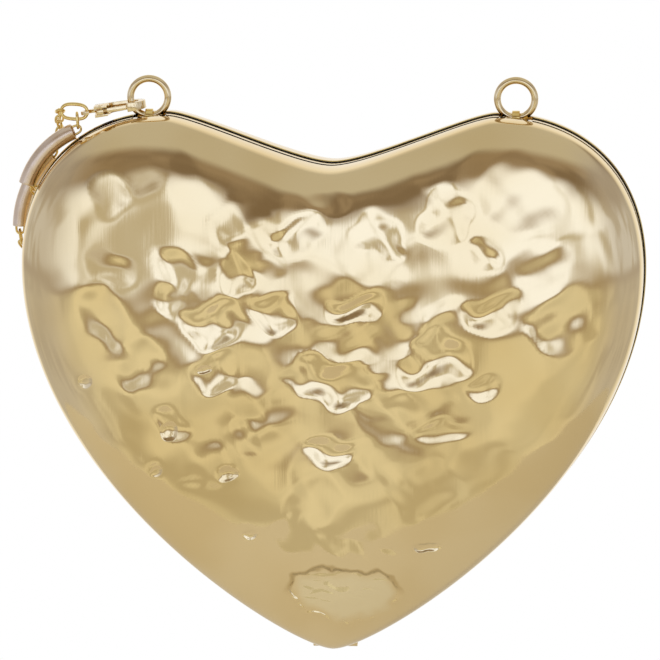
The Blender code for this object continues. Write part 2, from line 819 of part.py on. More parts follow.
def curve_between(start, end, handle):
    """A curve that leaves both hooks along their ways, and how far along it each point lies."""
    points = bezier(start.place, start.place + handle * start.way, end.place + handle * end.way, end.place, 60)
    points.append(end.place)
    lengths = [0.0]
    for near, far in zip(points, points[1:]):
        lengths.append(lengths[-1] + (far - near).length)
    return points, lengths


def fit_curve(start, end, wanted):
    """The curve between two hooks that has the wanted length."""
    low = 0.0
    high = wanted
    for _ in range(30):
        middle = (low + high) / 2
        if curve_between(start, end, middle)[1][-1] < wanted:
            low = middle
        else:
            high = middle
    return curve_between(start, end, low)


def make_link(name, centre, along, aside):
    mesh = bmesh.new()
    add_link(mesh, centre, along, aside, LINK_LENGTH, LINK_WIDTH, LINK_WIRE)
    finish(name, mesh, gold(name))


def make_chain(name, count, start, end):
    """Links from one hook to another, turned crosswise in turn."""
    points, lengths = fit_curve(start, end, start.grip + end.grip + LINK_PITCH * (count - 1))
    across = [start.aside()]
    for near, far in zip(points, points[1:]):
        way = (far - near).normalized()
        across.append((across[-1] - across[-1].dot(way) * way).normalized())
    way = (points[-1] - points[-2]).normalized()
    over = way.cross(across[-1])
    goal = end.aside()
    lag = math.atan2(goal.dot(over), goal.dot(across[-1])) - (count - 1) * math.pi / 2
    lag = 0.0 if isinstance(end, OpenEnd) else (lag + math.pi / 2) % math.pi - math.pi / 2
    run = lengths[-1] - start.grip - end.grip
    for index in range(count):
        wanted = start.grip + run * index / (count - 1)
        step = max(1, sum(length < wanted for length in lengths))
        share = (wanted - lengths[step - 1]) / (lengths[step] - lengths[step - 1])
        centre = points[step - 1].lerp(points[step], share)
        along = (points[step] - points[step - 1]).normalized()
        turn = index * math.pi / 2 + lag * index / (count - 1)
        aside = math.cos(turn) * across[step] + math.sin(turn) * along.cross(across[step])
        make_link(f"{name}_{index + 1}", centre, along, aside)


TUBE_A = Tube("strap_tube_a", TUBE_A_TOP, TUBE_A_END)
TUBE_B = Tube("strap_tube_b", TUBE_B_TOP, TUBE_B_END)
TUBE_C = Tube("strap_tube_c", TUBE_C_TOP, TUBE_C_END)
TUBE_D = Tube("strap_tube_d", TUBE_D_TOP, TUBE_D_END)


def mouth(tube, at_top):
    """The hook that the bar across a tube's mouth makes for a chain."""
    bar, _, travel = tube.bar(at_top)
    return Hook(bar, -travel if at_top else travel, tube.facing, BAR_RADIUS)


def make_strap():
    for tube in (TUBE_A, TUBE_B, TUBE_C, TUBE_D):
        tube.make()
    eye = on_clasp(EYE_AT, -EYE_OFFSET)
    along = (strap_place(OVAL_FAR) - eye).normalized()
    aside = along.cross(Vector((0, 1, 0))).normalized()
    centre = eye + (OVAL_LENGTH / 2 - OVAL_WIRE) * along
    mesh = bmesh.new()
    add_link(mesh, centre, along, aside, OVAL_LENGTH, OVAL_WIDTH, OVAL_WIRE)
    finish("oval_link", mesh, gold("oval_link"))
    side = centre + (OVAL_WIDTH / 2 - OVAL_WIRE) * aside - OVAL_HOOK * along
    end = centre + (OVAL_LENGTH / 2 - OVAL_WIRE) * along
    a_mouth = mouth(TUBE_A, True)
    make_link("link_a_1", a_mouth.place + a_mouth.grip * a_mouth.way, a_mouth.way, a_mouth.aside())
    through = a_mouth.place + LINK_LENGTH / 2 * a_mouth.way
    hanger = Hook(side, through - side, along, OVAL_WIRE)
    hung = through - (LINK_LENGTH / 2 - LINK_WIRE) * hanger.way
    make_link("link_a_2", hung, hanger.way, hanger.aside())
    make_chain("link_b", LINKS_B, Hook(end, Vector(OVAL_WAY), aside, OVAL_WIRE), mouth(TUBE_B, True))
    make_chain("link_c", LINKS_C, mouth(TUBE_B, False), mouth(TUBE_C, True))
    make_chain("link_d", LINKS_D, mouth(TUBE_C, False), mouth(TUBE_D, True))
    open_end = OpenEnd(strap_place(STRAP_OPEN_END), -Vector(OPEN_WAY))
    make_chain("link_e", LINKS_E, mouth(TUBE_D, False), open_end)


def main():
    clear_scene()
    notches = [ring_notch("notch_left", -1), ring_notch("notch_right", 1)]
    relief = hinge_relief("hinge_relief", RELIEF_REACH)
    leaf_room = hinge_relief("leaf_room", LEAF_REACH + FIT_GAP)
    slot = bracket_slot()
    for half in (FRONT, BACK):
        make_shell(half, [*notches, relief])
        make_frame(half, notches, [relief])
        make_lining(half, [*notches, leaf_room, slot])
    make_catch(-1, "catch_plate", "catch_plate_bracket")
    make_catch(1, "catch_magnet", "catch_magnet_bracket")
    pitch = KNUCKLE_LENGTH + KNUCKLE_GAP
    make_hinge_leaf("hinge_leaf_front", -1, [0.0])
    make_hinge_leaf("hinge_leaf_back", 1, [-pitch, pitch])
    make_hinge_pin()
    for side, word in ((-1, "left"), (1, "right")):
        make_ring("ring_" + word, side)
        make_staple("ring_staple_" + word, side)
    make_clasp()
    make_strap()


main()
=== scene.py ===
"""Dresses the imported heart-shaped evening bag: hammered shells, bright rims, rings, clasp and strap."""

import json
import math

import bpy
import numpy as np
from mathutils import Matrix, Vector


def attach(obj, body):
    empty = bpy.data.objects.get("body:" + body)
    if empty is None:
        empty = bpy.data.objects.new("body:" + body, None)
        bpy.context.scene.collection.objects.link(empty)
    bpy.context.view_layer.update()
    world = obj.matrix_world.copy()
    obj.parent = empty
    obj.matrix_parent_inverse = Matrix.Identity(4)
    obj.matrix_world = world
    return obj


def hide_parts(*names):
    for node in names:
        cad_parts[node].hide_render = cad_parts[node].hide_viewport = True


bl_info = {
    "name": "Heart evening bag",
    "version": (1, 0, 0),
    "blender": (4, 5, 0),
    "location": "View3D > Sidebar > Evening bag",
    "description": "Builds the visible pieces of a heart-shaped evening bag round its packed solids",
    "category": "Object",
}

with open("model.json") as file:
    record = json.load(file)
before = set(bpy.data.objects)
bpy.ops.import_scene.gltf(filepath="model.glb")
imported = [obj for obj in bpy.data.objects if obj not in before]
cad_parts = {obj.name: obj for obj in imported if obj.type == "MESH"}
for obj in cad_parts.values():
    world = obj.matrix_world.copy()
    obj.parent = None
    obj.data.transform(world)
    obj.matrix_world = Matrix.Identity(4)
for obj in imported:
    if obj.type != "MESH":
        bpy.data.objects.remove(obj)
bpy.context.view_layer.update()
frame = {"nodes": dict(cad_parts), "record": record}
RECORD = frame["record"]

# Heart outline at the seam, with its curve handles, in metres, measured down from the top of the lobes
HALF_WIDTH = 0.0900
LOBE_TOP_X = 0.0473
VALLEY_DROP = 0.01424
SIDE_DROP = 0.0439
TIP_DROP = 0.1561
VALLEY_HANDLE = 0.0104
LOBE_INNER_HANDLE = 0.0073
LOBE_OUTER_HANDLE = 0.0238
SIDE_UPPER_HANDLE = 0.0287
SIDE_LOWER_HANDLE = 0.0636
TIP_HANDLE = 0.0125
CROWN_DROP = 0.0712
CROWN_ROUND_RADIUS = 0.0720
FRONT_DEPTH = 0.0260
BACK_DEPTH = 0.0220
BACK_FLAT_SHARE = 0.30
PUFF_SHARE = 2.5
WALL_SHARE = 4.0
ROUNDING_SHARE = 1.8
WALL = 0.0012
# How far the shell's rim stands from the seam's plane, on top of the frame's lip
SHELL_RIM = 0.00115
LOBE_TOP_Z = -0.0091
TIP_Z = LOBE_TOP_Z - TIP_DROP
CROWN_Z = LOBE_TOP_Z - CROWN_DROP

# The hanging rings, and the room that the rims and shells leave for them and for the hinge
RING_X = 0.0530
RING_AXIS_Z = -0.0099
RING_RADIUS = 0.0054
RING_WIRE = 0.00102
RING_TURNS = 120
RING_SIDES = 24
RING_JOINT_BEARING = math.radians(-62)
RING_JOINT_HALF = 0.00013
RING_JOINT_SHRINK = 0.86
NOTCH_HALF = 0.0049
NOTCH_DEPTH = 0.0046
NOTCH_REACH = 0.0034
RELIEF_HALF = 0.0078
RELIEF_REACH = 0.0030
RELIEF_RISE = 0.0065
CUT_OVERRUN = 0.001
# Rim frames: a lip that shows round the seam, and a flange behind it
LIP_NEAR = 0.00015
LIP_FAR = 0.00085
FRONT_LIP_PROUD = 0.00022
BACK_LIP_PROUD = 0.00045
FLANGE_INSET = 0.0016
FLANGE_THICK = 0.0010
FLANGE_HEIGHT = 0.0040
RIM_SOFT = 0.0002
# Strap tubes, with the bar across each mouth
TUBE_RADIUS = 0.00225
TUBE_WALL = 0.00040
TUBE_BOW = 0.0023
TUBE_SIDES = 48
TUBE_STEPS = 30
TUBE_MOUTH_SOFT = 0.00013
TUBE_SEAM_RADIUS = 0.00022
TUBE_SEAM_SIDES = 12
TUBE_SEAM_SINK = 0.00005
BAR_INSET = 0.0012
BAR_RADIUS = 0.0004
BAR_SIDES = 16
BAR_SOFT = 0.0001
# The middles of their mouths: right of centre, behind the seam, and below the lobes' top
TUBES = {
    "strap_tube_a": ((-0.0750, -0.0013, 0.0053), (-0.0888, -0.0013, 0.0208)),
    "strap_tube_b": ((-0.0833, 0.0155, 0.0149), (-0.0926, 0.0155, 0.0358)),
    "strap_tube_c": ((-0.0905, 0.0205, 0.0475), (-0.0815, 0.0205, 0.0680)),
    "strap_tube_d": ((-0.0680, 0.0250, 0.0660), (-0.0765, 0.0250, 0.0445)),
}
# How far the wire of the links is thickened, to make up for what subdividing rounds off
LINK_SWELL = 0.00003
OVAL_SWELL = 0.00004

# Hollow facets all over both faces: pitch, depth above and below the middle (all mm), and seed
COARSE_FACETS = (15.0, 1.0, 0.42, 5)
FINE_FACETS = (8.0, 0.18, 0.06, 6)
FACET_SHARPNESS = 5.0
FACET_SPAN = 96
FACET_TOP = -6
FACET_FOOT = 166
FACET_SHIFT = 0.42
FACET_SIZES = (0.75, 1.15)
# Where the facets grow shallow, below the lobes' top, and over what height (mm)
CALM_FROM = 88
CALM_RUN = 24
# Marks scattered over each shell: how many, seed, and least and greatest half length (mm)
FRONT_SCATTER = (46, 11, 6.0, 13.0)
BACK_SCATTER = (30, 23, 6.0, 12.0)
SCATTER_SPAN = 84
SCATTER_TOP = 6
SCATTER_FOOT = 150
SCATTER_DEPTHS = (0.02, 0.045)
SCATTER_HOLLOWS = 0.6
# Rows below the flat crown over which the marks fade out
CROWN_EASE_ROWS = 14
# Waves that bend the dents' outlines, across and up: height in mm, and phase
SWAY_WAVES = ((1.3, 290, 1.3), (0.8, 520, 0.4))
LIFT_WAVES = ((1.2, 310, 0.7), (0.8, 470, 2.1))
FULL_SWAY_LENGTH = 8
# Small sharp pits on the front: right of centre, below the lobes' top, reach, height share (mm)
PITS = (
    (-70.5, 75.5, 1.9, 1.3),
    (-46.0, 89.5, 2.8, 1.1),
    (-50.0, 101.5, 1.5, 1.2),
    (-29.0, 101.5, 3.0, 0.8),
    (-23.0, 119.5, 2.2, 0.8),
    (-35.5, 71.0, 2.0, 0.7),
    (4.5, 145.0, 1.6, 1.0),
    (28.0, 123.0, 4.5, 0.35),
)
# The crumpled patch above the tip: its middle's x and z, and its half width and half height, in metres
CRUMPLE = (0.0043, -0.1465, 0.0165, 0.0082)
# Hammered dents: right of centre, below the lobes' top, half length, half width, turn in degrees, and
# depth (lengths in mm)
DENTS = (
    (-64, 21, 8.0, 6.0, 70, 0.9),
    (-52, 17, 7.0, 5.0, 20, 0.5),
    (-63, 42, 8.5, 5.5, 15, 0.6),
    (-45, 43, 8.0, 6.0, 75, 0.75),
    (-45, 52, 6.0, 4.0, 110, 0.6),
    (-27, 45, 7.0, 5.0, 80, 0.7),
    (-65, 56, 7.5, 10.0, 15, 1.0),
    (-32, 58, 10.0, 7.5, 0, 1.1),
    (-14, 54, 8.0, 6.0, 150, 0.7),
    (-1, 21, 7.0, 4.5, 0, 0.8),
    (-8, 32, 9.0, 6.0, 40, 0.7),
    (16, 32, 9.0, 6.0, 150, 0.7),
    (9, 53, 9.5, 4.0, 0, 0.8),
    (34, 27, 8.0, 9.0, 0, 1.2),
    (56, 20, 14.5, 12.0, 0, 1.8),
    (46, 37, 7.0, 5.0, 130, 0.7),
    (61, 43, 9.0, 6.0, 20, 0.35),
    (48, 54, 8.5, 6.0, 0, 1.0),
    (69, 57, 12.0, 9.0, 30, 1.3),
    (31, 68, 11.0, 9.0, 10, 1.3),
    (46, 75, 5.5, 3.5, 20, 0.6),
    (-32, 72, 8.0, 6.0, 150, 0.8),
    (2, 74, 15.0, 7.0, 166, 1.2),
    (1, 94, 9.0, 4.5, 0, 0.8),
    (32, 89, 9.5, 3.2, 4, 0.4),
    (-46, 88, 6.5, 4.5, 140, 0.8),
    (-55, 70, 9.0, 7.0, 120, 0.6),
    (-71, 76, 2.6, 2.0, 0, 0.4),
    (-50, 101, 3.2, 2.4, 0, 0.4),
    (-29, 101, 3.4, 2.4, 20, 0.45),
    (-23, 119, 2.6, 2.0, 0, 0.4),
    (-40, 104, 4.6, 1.6, 20, 0.2),
    (20, 124, 6.0, 2.6, 160, 0.3),
    (70, 78, 8.0, 10.0, 60, 0.4),
    (-8, 136, 6.5, 4.0, 30, 0.5),
    (2, 133, 6.0, 3.0, 160, 0.45),
    (12, 138, 6.5, 4.0, 150, 0.5),
    (3, 142, 5.0, 3.0, 10, 0.5),
    (5, 146, 2.2, 1.7, 0, 0.35),
)
# The same for the back, which is not seen in the photograph
BACK_DENTS = (
    (-58, 36, 13.0, 9.0, 40, 0.9),
    (56, 34, 12.0, 10.0, 120, 0.9),
    (-64, 68, 12.0, 9.0, 100, 0.8),
    (66, 64, 13.0, 9.0, 70, 0.9),
    (-40, 104, 12.0, 7.0, 130, 0.8),
    (38, 106, 12.0, 8.0, 50, 0.8),
    (4, 126, 11.0, 7.0, 0, 0.7),
    (-30, 22, 9.0, 7.0, 10, 0.7),
    (30, 24, 10.0, 6.0, 160, 0.7),
)

# Joining, smoothing and bevelling
MERGE = 1e-6
SMOOTH_ANGLE = math.radians(40)
SHELL_SMOOTH_ANGLE = math.radians(60)
FLAT_ANGLE = math.radians(2)
QUAD_FACE_ANGLE = math.radians(60)
QUAD_SHAPE_ANGLE = math.radians(80)
FITTING_EDGE_ANGLE = math.radians(35)
TUBE_EDGE_ANGLE = math.radians(50)


def body_of_node(node):
    for body, members in RECORD["behaviour"]["bodies"].items():
        if node in members:
            return body
    raise RuntimeError(f"no body holds {node}")


def start_clean():
    if bpy.context.object is not None and bpy.context.object.mode != "OBJECT":
        bpy.ops.object.mode_set(mode="OBJECT")
    bpy.ops.object.select_all(action="DESELECT")


def only(piece):
    start_clean()
    piece.select_set(True)
    bpy.context.view_layer.objects.active = piece


def to_mesh_place(piece):
    """Puts the object's place, turn and size into its mesh."""
    only(piece)
    bpy.ops.object.transform_apply(location=True, rotation=True, scale=True)


def apply_modifier(piece, kind, **settings):
    only(piece)
    modifier = piece.modifiers.new(kind.title(), kind)
    for setting, value in settings.items():
        setattr(modifier, setting, value)
    bpy.ops.object.modifier_apply(modifier=modifier.name)


def soften_edges(piece, width, segments, angle):
    """Bevels the edges that are sharper than an angle."""
    apply_modifier(
        piece, "BEVEL", width=width, segments=segments, limit_method="ANGLE", angle_limit=angle
    )


def tidy_mesh(piece, fill=False):
    """Closes seams and poles, and open ends where asked, and turns the faces outwards."""
    only(piece)
    bpy.ops.object.mode_set(mode="EDIT")
    bpy.ops.mesh.select_all(action="SELECT")
    bpy.ops.mesh.remove_doubles(threshold=MERGE)
    if fill:
        bpy.ops.mesh.fill_holes(sides=0)
        bpy.ops.mesh.select_all(action="SELECT")
    bpy.ops.mesh.normals_make_consistent(inside=False)
    bpy.ops.object.mode_set(mode="OBJECT")


def place_piece(piece, finish, node, smooth_angle=SMOOTH_ANGLE):
    """Gives a piece its finish, and the body of the CAD node that it belongs to."""
    only(piece)
    bpy.ops.object.shade_smooth_by_angle(angle=smooth_angle)
    piece.data.materials.clear()
    piece.data.materials.append(finish)
    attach(piece, body_of_node(node))


def cut_boxes(piece, boxes):
    """Cuts boxes, given by their corners, out of a piece."""
    cutters = []
    for low, high in boxes:
        start_clean()
        centre = (Vector(low) + Vector(high)) / 2
        bpy.ops.mesh.primitive_cube_add(size=1, location=centre, scale=Vector(high) - Vector(low))
        cutters.append(bpy.context.object)
    start_clean()
    for cutter in cutters:
        cutter.select_set(True)
    bpy.context.view_layer.objects.active = cutters[0]
    bpy.ops.object.join()
    cutter = bpy.context.object
    to_mesh_place(cutter)
    apply_modifier(piece, "BOOLEAN", operation="DIFFERENCE", object=cutter, solver="EXACT")
    bpy.data.objects.remove(cutter)


def refined_copy(node, finish, bevel=0.0, levels=0, swell=0.0):
    """A finer copy of a CAD node that stands for it: merged, then bevelled or subdivided."""
    data = frame["nodes"][node].data.copy()
    piece = bpy.data.objects.new("fine_" + node, data)
    bpy.context.scene.collection.objects.link(piece)
    only(piece)
    bpy.ops.object.mode_set(mode="EDIT")
    bpy.ops.mesh.select_all(action="SELECT")
    bpy.ops.mesh.remove_doubles(threshold=MERGE)
    bpy.ops.mesh.customdata_custom_splitnormals_clear()
    if levels:
        bpy.ops.mesh.tris_convert_to_quads(
            face_threshold=QUAD_FACE_ANGLE, shape_threshold=QUAD_SHAPE_ANGLE
        )
    else:
        bpy.ops.mesh.dissolve_limited(angle_limit=FLAT_ANGLE)
    if swell:
        bpy.ops.transform.shrink_fatten(value=swell)
    bpy.ops.object.mode_set(mode="OBJECT")
    if bevel:
        soften_edges(piece, bevel, 3, FITTING_EDGE_ANGLE)
    if levels:
        apply_modifier(piece, "SUBSURF", levels=levels, render_levels=levels)
    place_piece(piece, finish, node)
    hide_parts(node)


# Finishes
class Value:
    """A number socket in a node tree; Python arithmetic on it adds Math nodes."""

    def __init__(self, tree, socket):
        self.tree = tree
        self.socket = socket

    def maths(self, operation, *terms):
        node = self.tree.nodes.new("ShaderNodeMath")
        node.operation = operation
        for socket, term in zip(node.inputs, terms):
            if isinstance(term, Value):
                self.tree.links.new(term.socket, socket)
            else:
                socket.default_value = term
        return Value(self.tree, node.outputs[0])

    def __add__(self, other):
        return self.maths("ADD", self, other)

    __radd__ = __add__

    def __mul__(self, other):
        return self.maths("MULTIPLY", self, other)

    def __sub__(self, other):
        return self.maths("SUBTRACT", self, other)

    def __pow__(self, other):
        return self.maths("POWER", self, other)

    def size(self):
        return self.maths("ABSOLUTE", self)

    def step(self, low, high):
        """A smooth rise from 0 at low to 1 at high."""
        node = self.tree.nodes.new("ShaderNodeMapRange")
        node.interpolation_type = "SMOOTHSTEP"
        node.inputs["From Min"].default_value = low
        node.inputs["From Max"].default_value = high
        self.tree.links.new(self.socket, node.inputs["Value"])
        return Value(self.tree, node.outputs["Result"])


class Graph:
    """The nodes of one material, or of the studio's surroundings."""

    def __init__(self, tree):
        self.tree = tree

    def node(self, kind, settings=None, inputs=None):
        made = self.tree.nodes.new(kind)
        for setting, value in (settings or {}).items():
            setattr(made, setting, value)
        for name, value in (inputs or {}).items():
            self.feed(made.inputs[name], value)
        return made

    def feed(self, socket, value):
        if isinstance(value, Value):
            self.tree.links.new(value.socket, socket)
        elif isinstance(value, bpy.types.NodeSocket):
            self.tree.links.new(value, socket)
        else:
            socket.default_value = value

    def value(self, socket):
        return Value(self.tree, socket)

    def axes(self, place):
        """The x, y and z of a place or a direction."""
        split = self.node("ShaderNodeSeparateXYZ", inputs={"Vector": place})
        return (self.value(split.outputs[axis]) for axis in "XYZ")

    def blend(self, factor, first, second):
        """A colour between two others."""
        mix = self.node("ShaderNodeMix", {"data_type": "RGBA"})
        self.feed(mix.inputs["Factor"], factor)
        colours = [socket for socket in mix.inputs if socket.type == "RGBA"]
        for socket, colour in zip(colours, (first, second)):
            if isinstance(colour, bpy.types.NodeSocket):
                self.tree.links.new(colour, socket)
            else:
                socket.default_value = (*colour, 1.0)
        return next(socket for socket in mix.outputs if socket.type == "RGBA")


class Finish(Graph):
    """A procedural material round one Principled shader."""

    def __init__(self, name, metallic=1.0):
        self.material = bpy.data.materials.new(name)
        self.material.use_nodes = True
        super().__init__(self.material.node_tree)
        self.shader = self.tree.nodes["Principled BSDF"]
        self.shader.inputs["Metallic"].default_value = metallic
        self.place = self.node("ShaderNodeTexCoord").outputs["Object"]

    def stretched(self, scale, turn=(0.0, 0.0, 0.0)):
        inputs = {"Vector": self.place, "Scale": scale, "Rotation": turn}
        return self.node("ShaderNodeMapping", inputs=inputs).outputs[0]

    def noise(self, size, place=None, detail=3.0):
        """Noise whose features are about the given size, in metres."""
        inputs = {"Vector": place or self.place, "Scale": 1 / size, "Detail": detail}
        return self.value(self.node("ShaderNodeTexNoise", inputs=inputs).outputs["Fac"])

    def bump(self, height, distance, strength=1.0):
        inputs = {"Height": height, "Distance": distance, "Strength": strength}
        made = self.node("ShaderNodeBump", inputs=inputs)
        self.feed(self.shader.inputs["Normal"], made.outputs["Normal"])

    def surface(self, colour, roughness):
        self.feed(self.shader.inputs["Base Color"], colour)
        self.feed(self.shader.inputs["Roughness"], roughness)


# Where the front face begins to carry the pits and the crumpled patch, from none to full
FRONT_FACE = (-0.004, -0.006)
# How high one unit of the pits and the patch stands, in metres
PIT_UNIT = 0.00024
PIT_SWAY = 0.0020
PIT_SWAY_SIZE = 0.0042
PIT_SLOPE = 0.55
POLISH_LINE_SIZE = 0.0006
POLISH_LINE_HEIGHT = 0.03
SLOW_TONE_SIZE = 0.035
HAZE_SIZE = 0.012
# The patch's ragged edge, its sinking, its tilt and its folds, in shares of its reach and in pit units
PATCH_RAGGED_SIZE = 0.0090
PATCH_RAGGED = 2.0
PATCH_EDGE = (1.10, 0.86)
PATCH_SINK = 2.6
PATCH_TILT = 1.8
PATCH_FOLDS = 0.22
PATCH_FOLD_SIZE = 0.0075
PATCH_SHEEN = (0.91, 0.77, 0.47)
PATCH_SHADE = (0.45, 0.29, 0.09)
SHEEN_REACH = (1.00, 0.30)
SHEEN_SHARE = 0.7
SHADE_SHARE = 0.5
SHADE_OUTER = (1.26, 1.06)
SHADE_INNER = (0.80, 0.98)
SHADE_RISE = (-0.001, 0.004)
# Painted shade on the rims: a dark line for the shade in the closed seam's gap, as places in front of the
# meeting faces
SEAM_SHADE_NEAR = (-0.0014, -0.0012)
SEAM_SHADE_FAR = (0.0001, -0.0001)
SEAM_SHADE_COLOUR = (0.02, 0.015, 0.01)
SATIN_LINE_SIZE = 0.0004
SATIN_TURN = (0.0, math.radians(40), 0.0)
THREAD_SCALE = 900.0


def patch_reach(made, x, z):
    """How far a place is from the middle of the crumpled patch; 1 is about its ragged edge."""
    middle_x, middle_z, half_width, half_height = CRUMPLE
    reach = ((x - middle_x) * (1 / half_width)) ** 2 + ((z - middle_z) * (1 / half_height)) ** 2
    return reach + (made.noise(PATCH_RAGGED_SIZE, detail=2.0) - 0.5) * PATCH_RAGGED


def pit_height(made, x, z, reach_of_patch):
    """The small sharp pits, and the sunken, folded patch."""
    sway = (made.noise(PIT_SWAY_SIZE, detail=0.0) - 0.5) * PIT_SWAY
    height = None
    for right, down, reach, stretch in PITS:
        across = (x + sway - right / 1000) * (1000 / reach)
        up = (z + sway - (LOBE_TOP_Z - down / 1000)) * (1000 / (reach * stretch))
        rise = (across * across + up * up).step(0.0, 1.0) * (reach * PIT_SLOPE)
        height = rise if height is None else height + rise
    folds = made.noise(PATCH_FOLD_SIZE, made.stretched((0.6, 1.0, 1.5)), detail=1.0) - 0.5
    tilt = (z - CRUMPLE[1]) * (-1 / CRUMPLE[3])
    patch = tilt * PATCH_TILT + folds.size().step(0.0, 0.10) * PATCH_FOLDS - PATCH_SINK
    return height + reach_of_patch.step(*PATCH_EDGE) * patch


def make_hammered_gold(name, light, deep):
    """Mirror-bright champagne gold: slow tones, faint polishing lines, pits and a crumpled patch."""
    made = Finish(name)
    x, y, z = made.axes(made.place)
    front = y.step(*FRONT_FACE)
    reach = patch_reach(made, x, z)
    upper = z.step(CRUMPLE[1] + SHADE_RISE[0], CRUMPLE[1] + SHADE_RISE[1])
    shade = reach.step(*SHADE_OUTER) * reach.step(*SHADE_INNER) * upper
    slow = made.noise(SLOW_TONE_SIZE, detail=2.0)
    lines = made.noise(POLISH_LINE_SIZE, made.stretched((1.0, 0.3, 0.04)), detail=4.0)
    haze = made.noise(HAZE_SIZE, detail=4.0).step(0.52, 0.72)
    gold = made.blend(slow.step(0.35, 0.65), light, deep)
    gold = made.blend(reach.step(*SHEEN_REACH) * front * SHEEN_SHARE, gold, PATCH_SHEEN)
    gold = made.blend(shade * front * SHADE_SHARE, gold, PATCH_SHADE)
    made.surface(gold, 0.05 + haze * 0.05 + lines * 0.04)
    made.bump(pit_height(made, x, z, reach) * front + lines * POLISH_LINE_HEIGHT, PIT_UNIT)
    return made.material


def make_polished_gold(name, light, deep, roughness):
    """Polished fittings, with a few scuffs."""
    made = Finish(name)
    tone = made.noise(0.004)
    scuffs = made.noise(0.0012, detail=4.0)
    gold = made.blend(tone.step(0.35, 0.7), light, deep)
    made.surface(gold, roughness + scuffs.step(0.5, 0.75) * 0.06)
    made.bump(scuffs, 0.000004, 0.3)
    return made.material


def make_rim_gold(name, light, deep):
    """Bright rolled gold, with painted shade as a dark line in the closed seam's gap, just in front of
    the meeting faces.
    """
    made = Finish(name)
    _, y, _ = made.axes(made.place)
    # seam masks the painted shade: the closed seam's gap is darkened and made rougher there
    seam = y.step(*SEAM_SHADE_NEAR) * y.step(*SEAM_SHADE_FAR)
    tone = made.noise(0.006)
    gold = made.blend(tone.step(0.35, 0.7), light, deep)
    made.surface(made.blend(seam, gold, SEAM_SHADE_COLOUR), 0.12 + tone * 0.08 + seam * 0.3)
    return made.material


def make_satin_gold(name, light, deep):
    """Fine-brushed champagne gold, its lines along the strap."""
    made = Finish(name)
    lines = made.noise(SATIN_LINE_SIZE, made.stretched((1.0, 1.0, 0.25), SATIN_TURN), detail=5.0)
    tone = made.noise(0.006)
    made.surface(made.blend(tone.step(0.3, 0.7), light, deep), 0.24 + lines * 0.10)
    made.bump(lines, 0.000006, 0.3)
    return made.material


def make_lining_cloth(name, light, deep):
    """Dark woven lining: two crossed sets of threads."""
    made = Finish(name, metallic=0.0)
    threads = []
    for axis in "XZ":
        inputs = {"Vector": made.place, "Scale": THREAD_SCALE}
        wave = made.node("ShaderNodeTexWave", {"bands_direction": axis}, inputs)
        threads.append(made.value(wave.outputs["Fac"]) * 0.5)
    weave = threads[0] + threads[1]
    fuzz = made.noise(0.002, detail=5.0)
    made.surface(made.blend(weave * 0.6 + fuzz * 0.4, deep, light), 0.75 + fuzz * 0.15)
    made.bump(weave, 0.00012, 0.5)
    made.shader.inputs["Sheen Weight"].default_value = 0.4
    return made.material


def make_plain_steel(name, light, deep):
    """Brushed fittings inside the bag, left plain or plated."""
    made = Finish(name)
    lines = made.noise(0.0005, made.stretched((0.1, 1.0, 1.0)), detail=4.0)
    made.surface(made.blend(lines, deep, light), 0.26 + lines * 0.14)
    made.bump(lines, 0.00003, 0.4)
    return made.material


# Shapes
# Points worked out along each curve of the half outline, and along the wall's profile, before spacing
OUTLINE_SAMPLES = (300, 300, 400)
PROFILE_SAMPLES = 4000
# How sharply a dent falls off, and how fast the marks fade towards the rim
DENT_FALL = 1.5
RIM_CALM = 4


def curve_points(start, leave, arrive, end, count):
    t = np.linspace(0.0, 1.0, count, endpoint=False)[:, None]
    u = 1.0 - t
    points = [np.array(point, float) for point in (start, leave, arrive, end)]
    return u**3 * points[0] + 3 * u * u * t * points[1] + 3 * u * t * t * points[2] + t**3 * points[3]


def eased(share):
    """A share from 0 to 1, with a soft start and end."""
    return share * share * (3 - 2 * share)


def heart_outline(count):
    """Points evenly spaced round the heart from the valley, over the right lobe, as x and z."""
    valley = (0.0, LOBE_TOP_Z - VALLEY_DROP)
    lobe = (LOBE_TOP_X, LOBE_TOP_Z)
    side = (HALF_WIDTH, LOBE_TOP_Z - SIDE_DROP)
    tip = (0.0, TIP_Z)
    curves = (
        (valley, (VALLEY_HANDLE, valley[1]), (lobe[0] - LOBE_INNER_HANDLE, lobe[1]), lobe),
        (lobe, (lobe[0] + LOBE_OUTER_HANDLE, lobe[1]), (side[0], side[1] + SIDE_UPPER_HANDLE), side),
        (side, (side[0], side[1] - SIDE_LOWER_HANDLE), (TIP_HANDLE, tip[1]), tip),
    )
    right = [curve_points(*curve, samples) for curve, samples in zip(curves, OUTLINE_SAMPLES)]
    right = np.concatenate([*right, [tip]])
    left = right[-2:0:-1] * (-1.0, 1.0)
    whole = np.concatenate([right, left, right[:1]])
    lengths = np.concatenate([[0.0], np.cumsum(np.linalg.norm(np.diff(whole, axis=0), axis=1))])
    wanted = np.linspace(0.0, lengths[-1], count, endpoint=False)
    return np.stack([np.interp(wanted, lengths, whole[:, axis]) for axis in (0, 1)], axis=1)


def moved_in(outline, inset):
    """The outline moved inwards, square to itself."""
    run = np.roll(outline, -1, axis=0) - np.roll(outline, 1, axis=0)
    inwards = np.stack([run[:, 1], -run[:, 0]], axis=1)
    return outline + inset * inwards / np.linalg.norm(inwards, axis=1)[:, None]


def side_profile(rows, depth):
    """Shares of the reach and of the depth from the rim to the crown, evenly spaced along the wall."""
    turn = np.linspace(0.0, math.pi / 2, PROFILE_SAMPLES)
    share = np.cos(turn) ** (2 / PUFF_SHARE)
    height = np.sin(turn) ** (2 / WALL_SHARE)
    steps = np.hypot(np.diff(share) * CROWN_DROP, np.diff(height) * depth)
    lengths = np.concatenate([[0.0], np.cumsum(steps)])
    wanted = np.linspace(0.0, lengths[-1], rows + 1)
    return np.interp(wanted, lengths, share), np.interp(wanted, lengths, height)


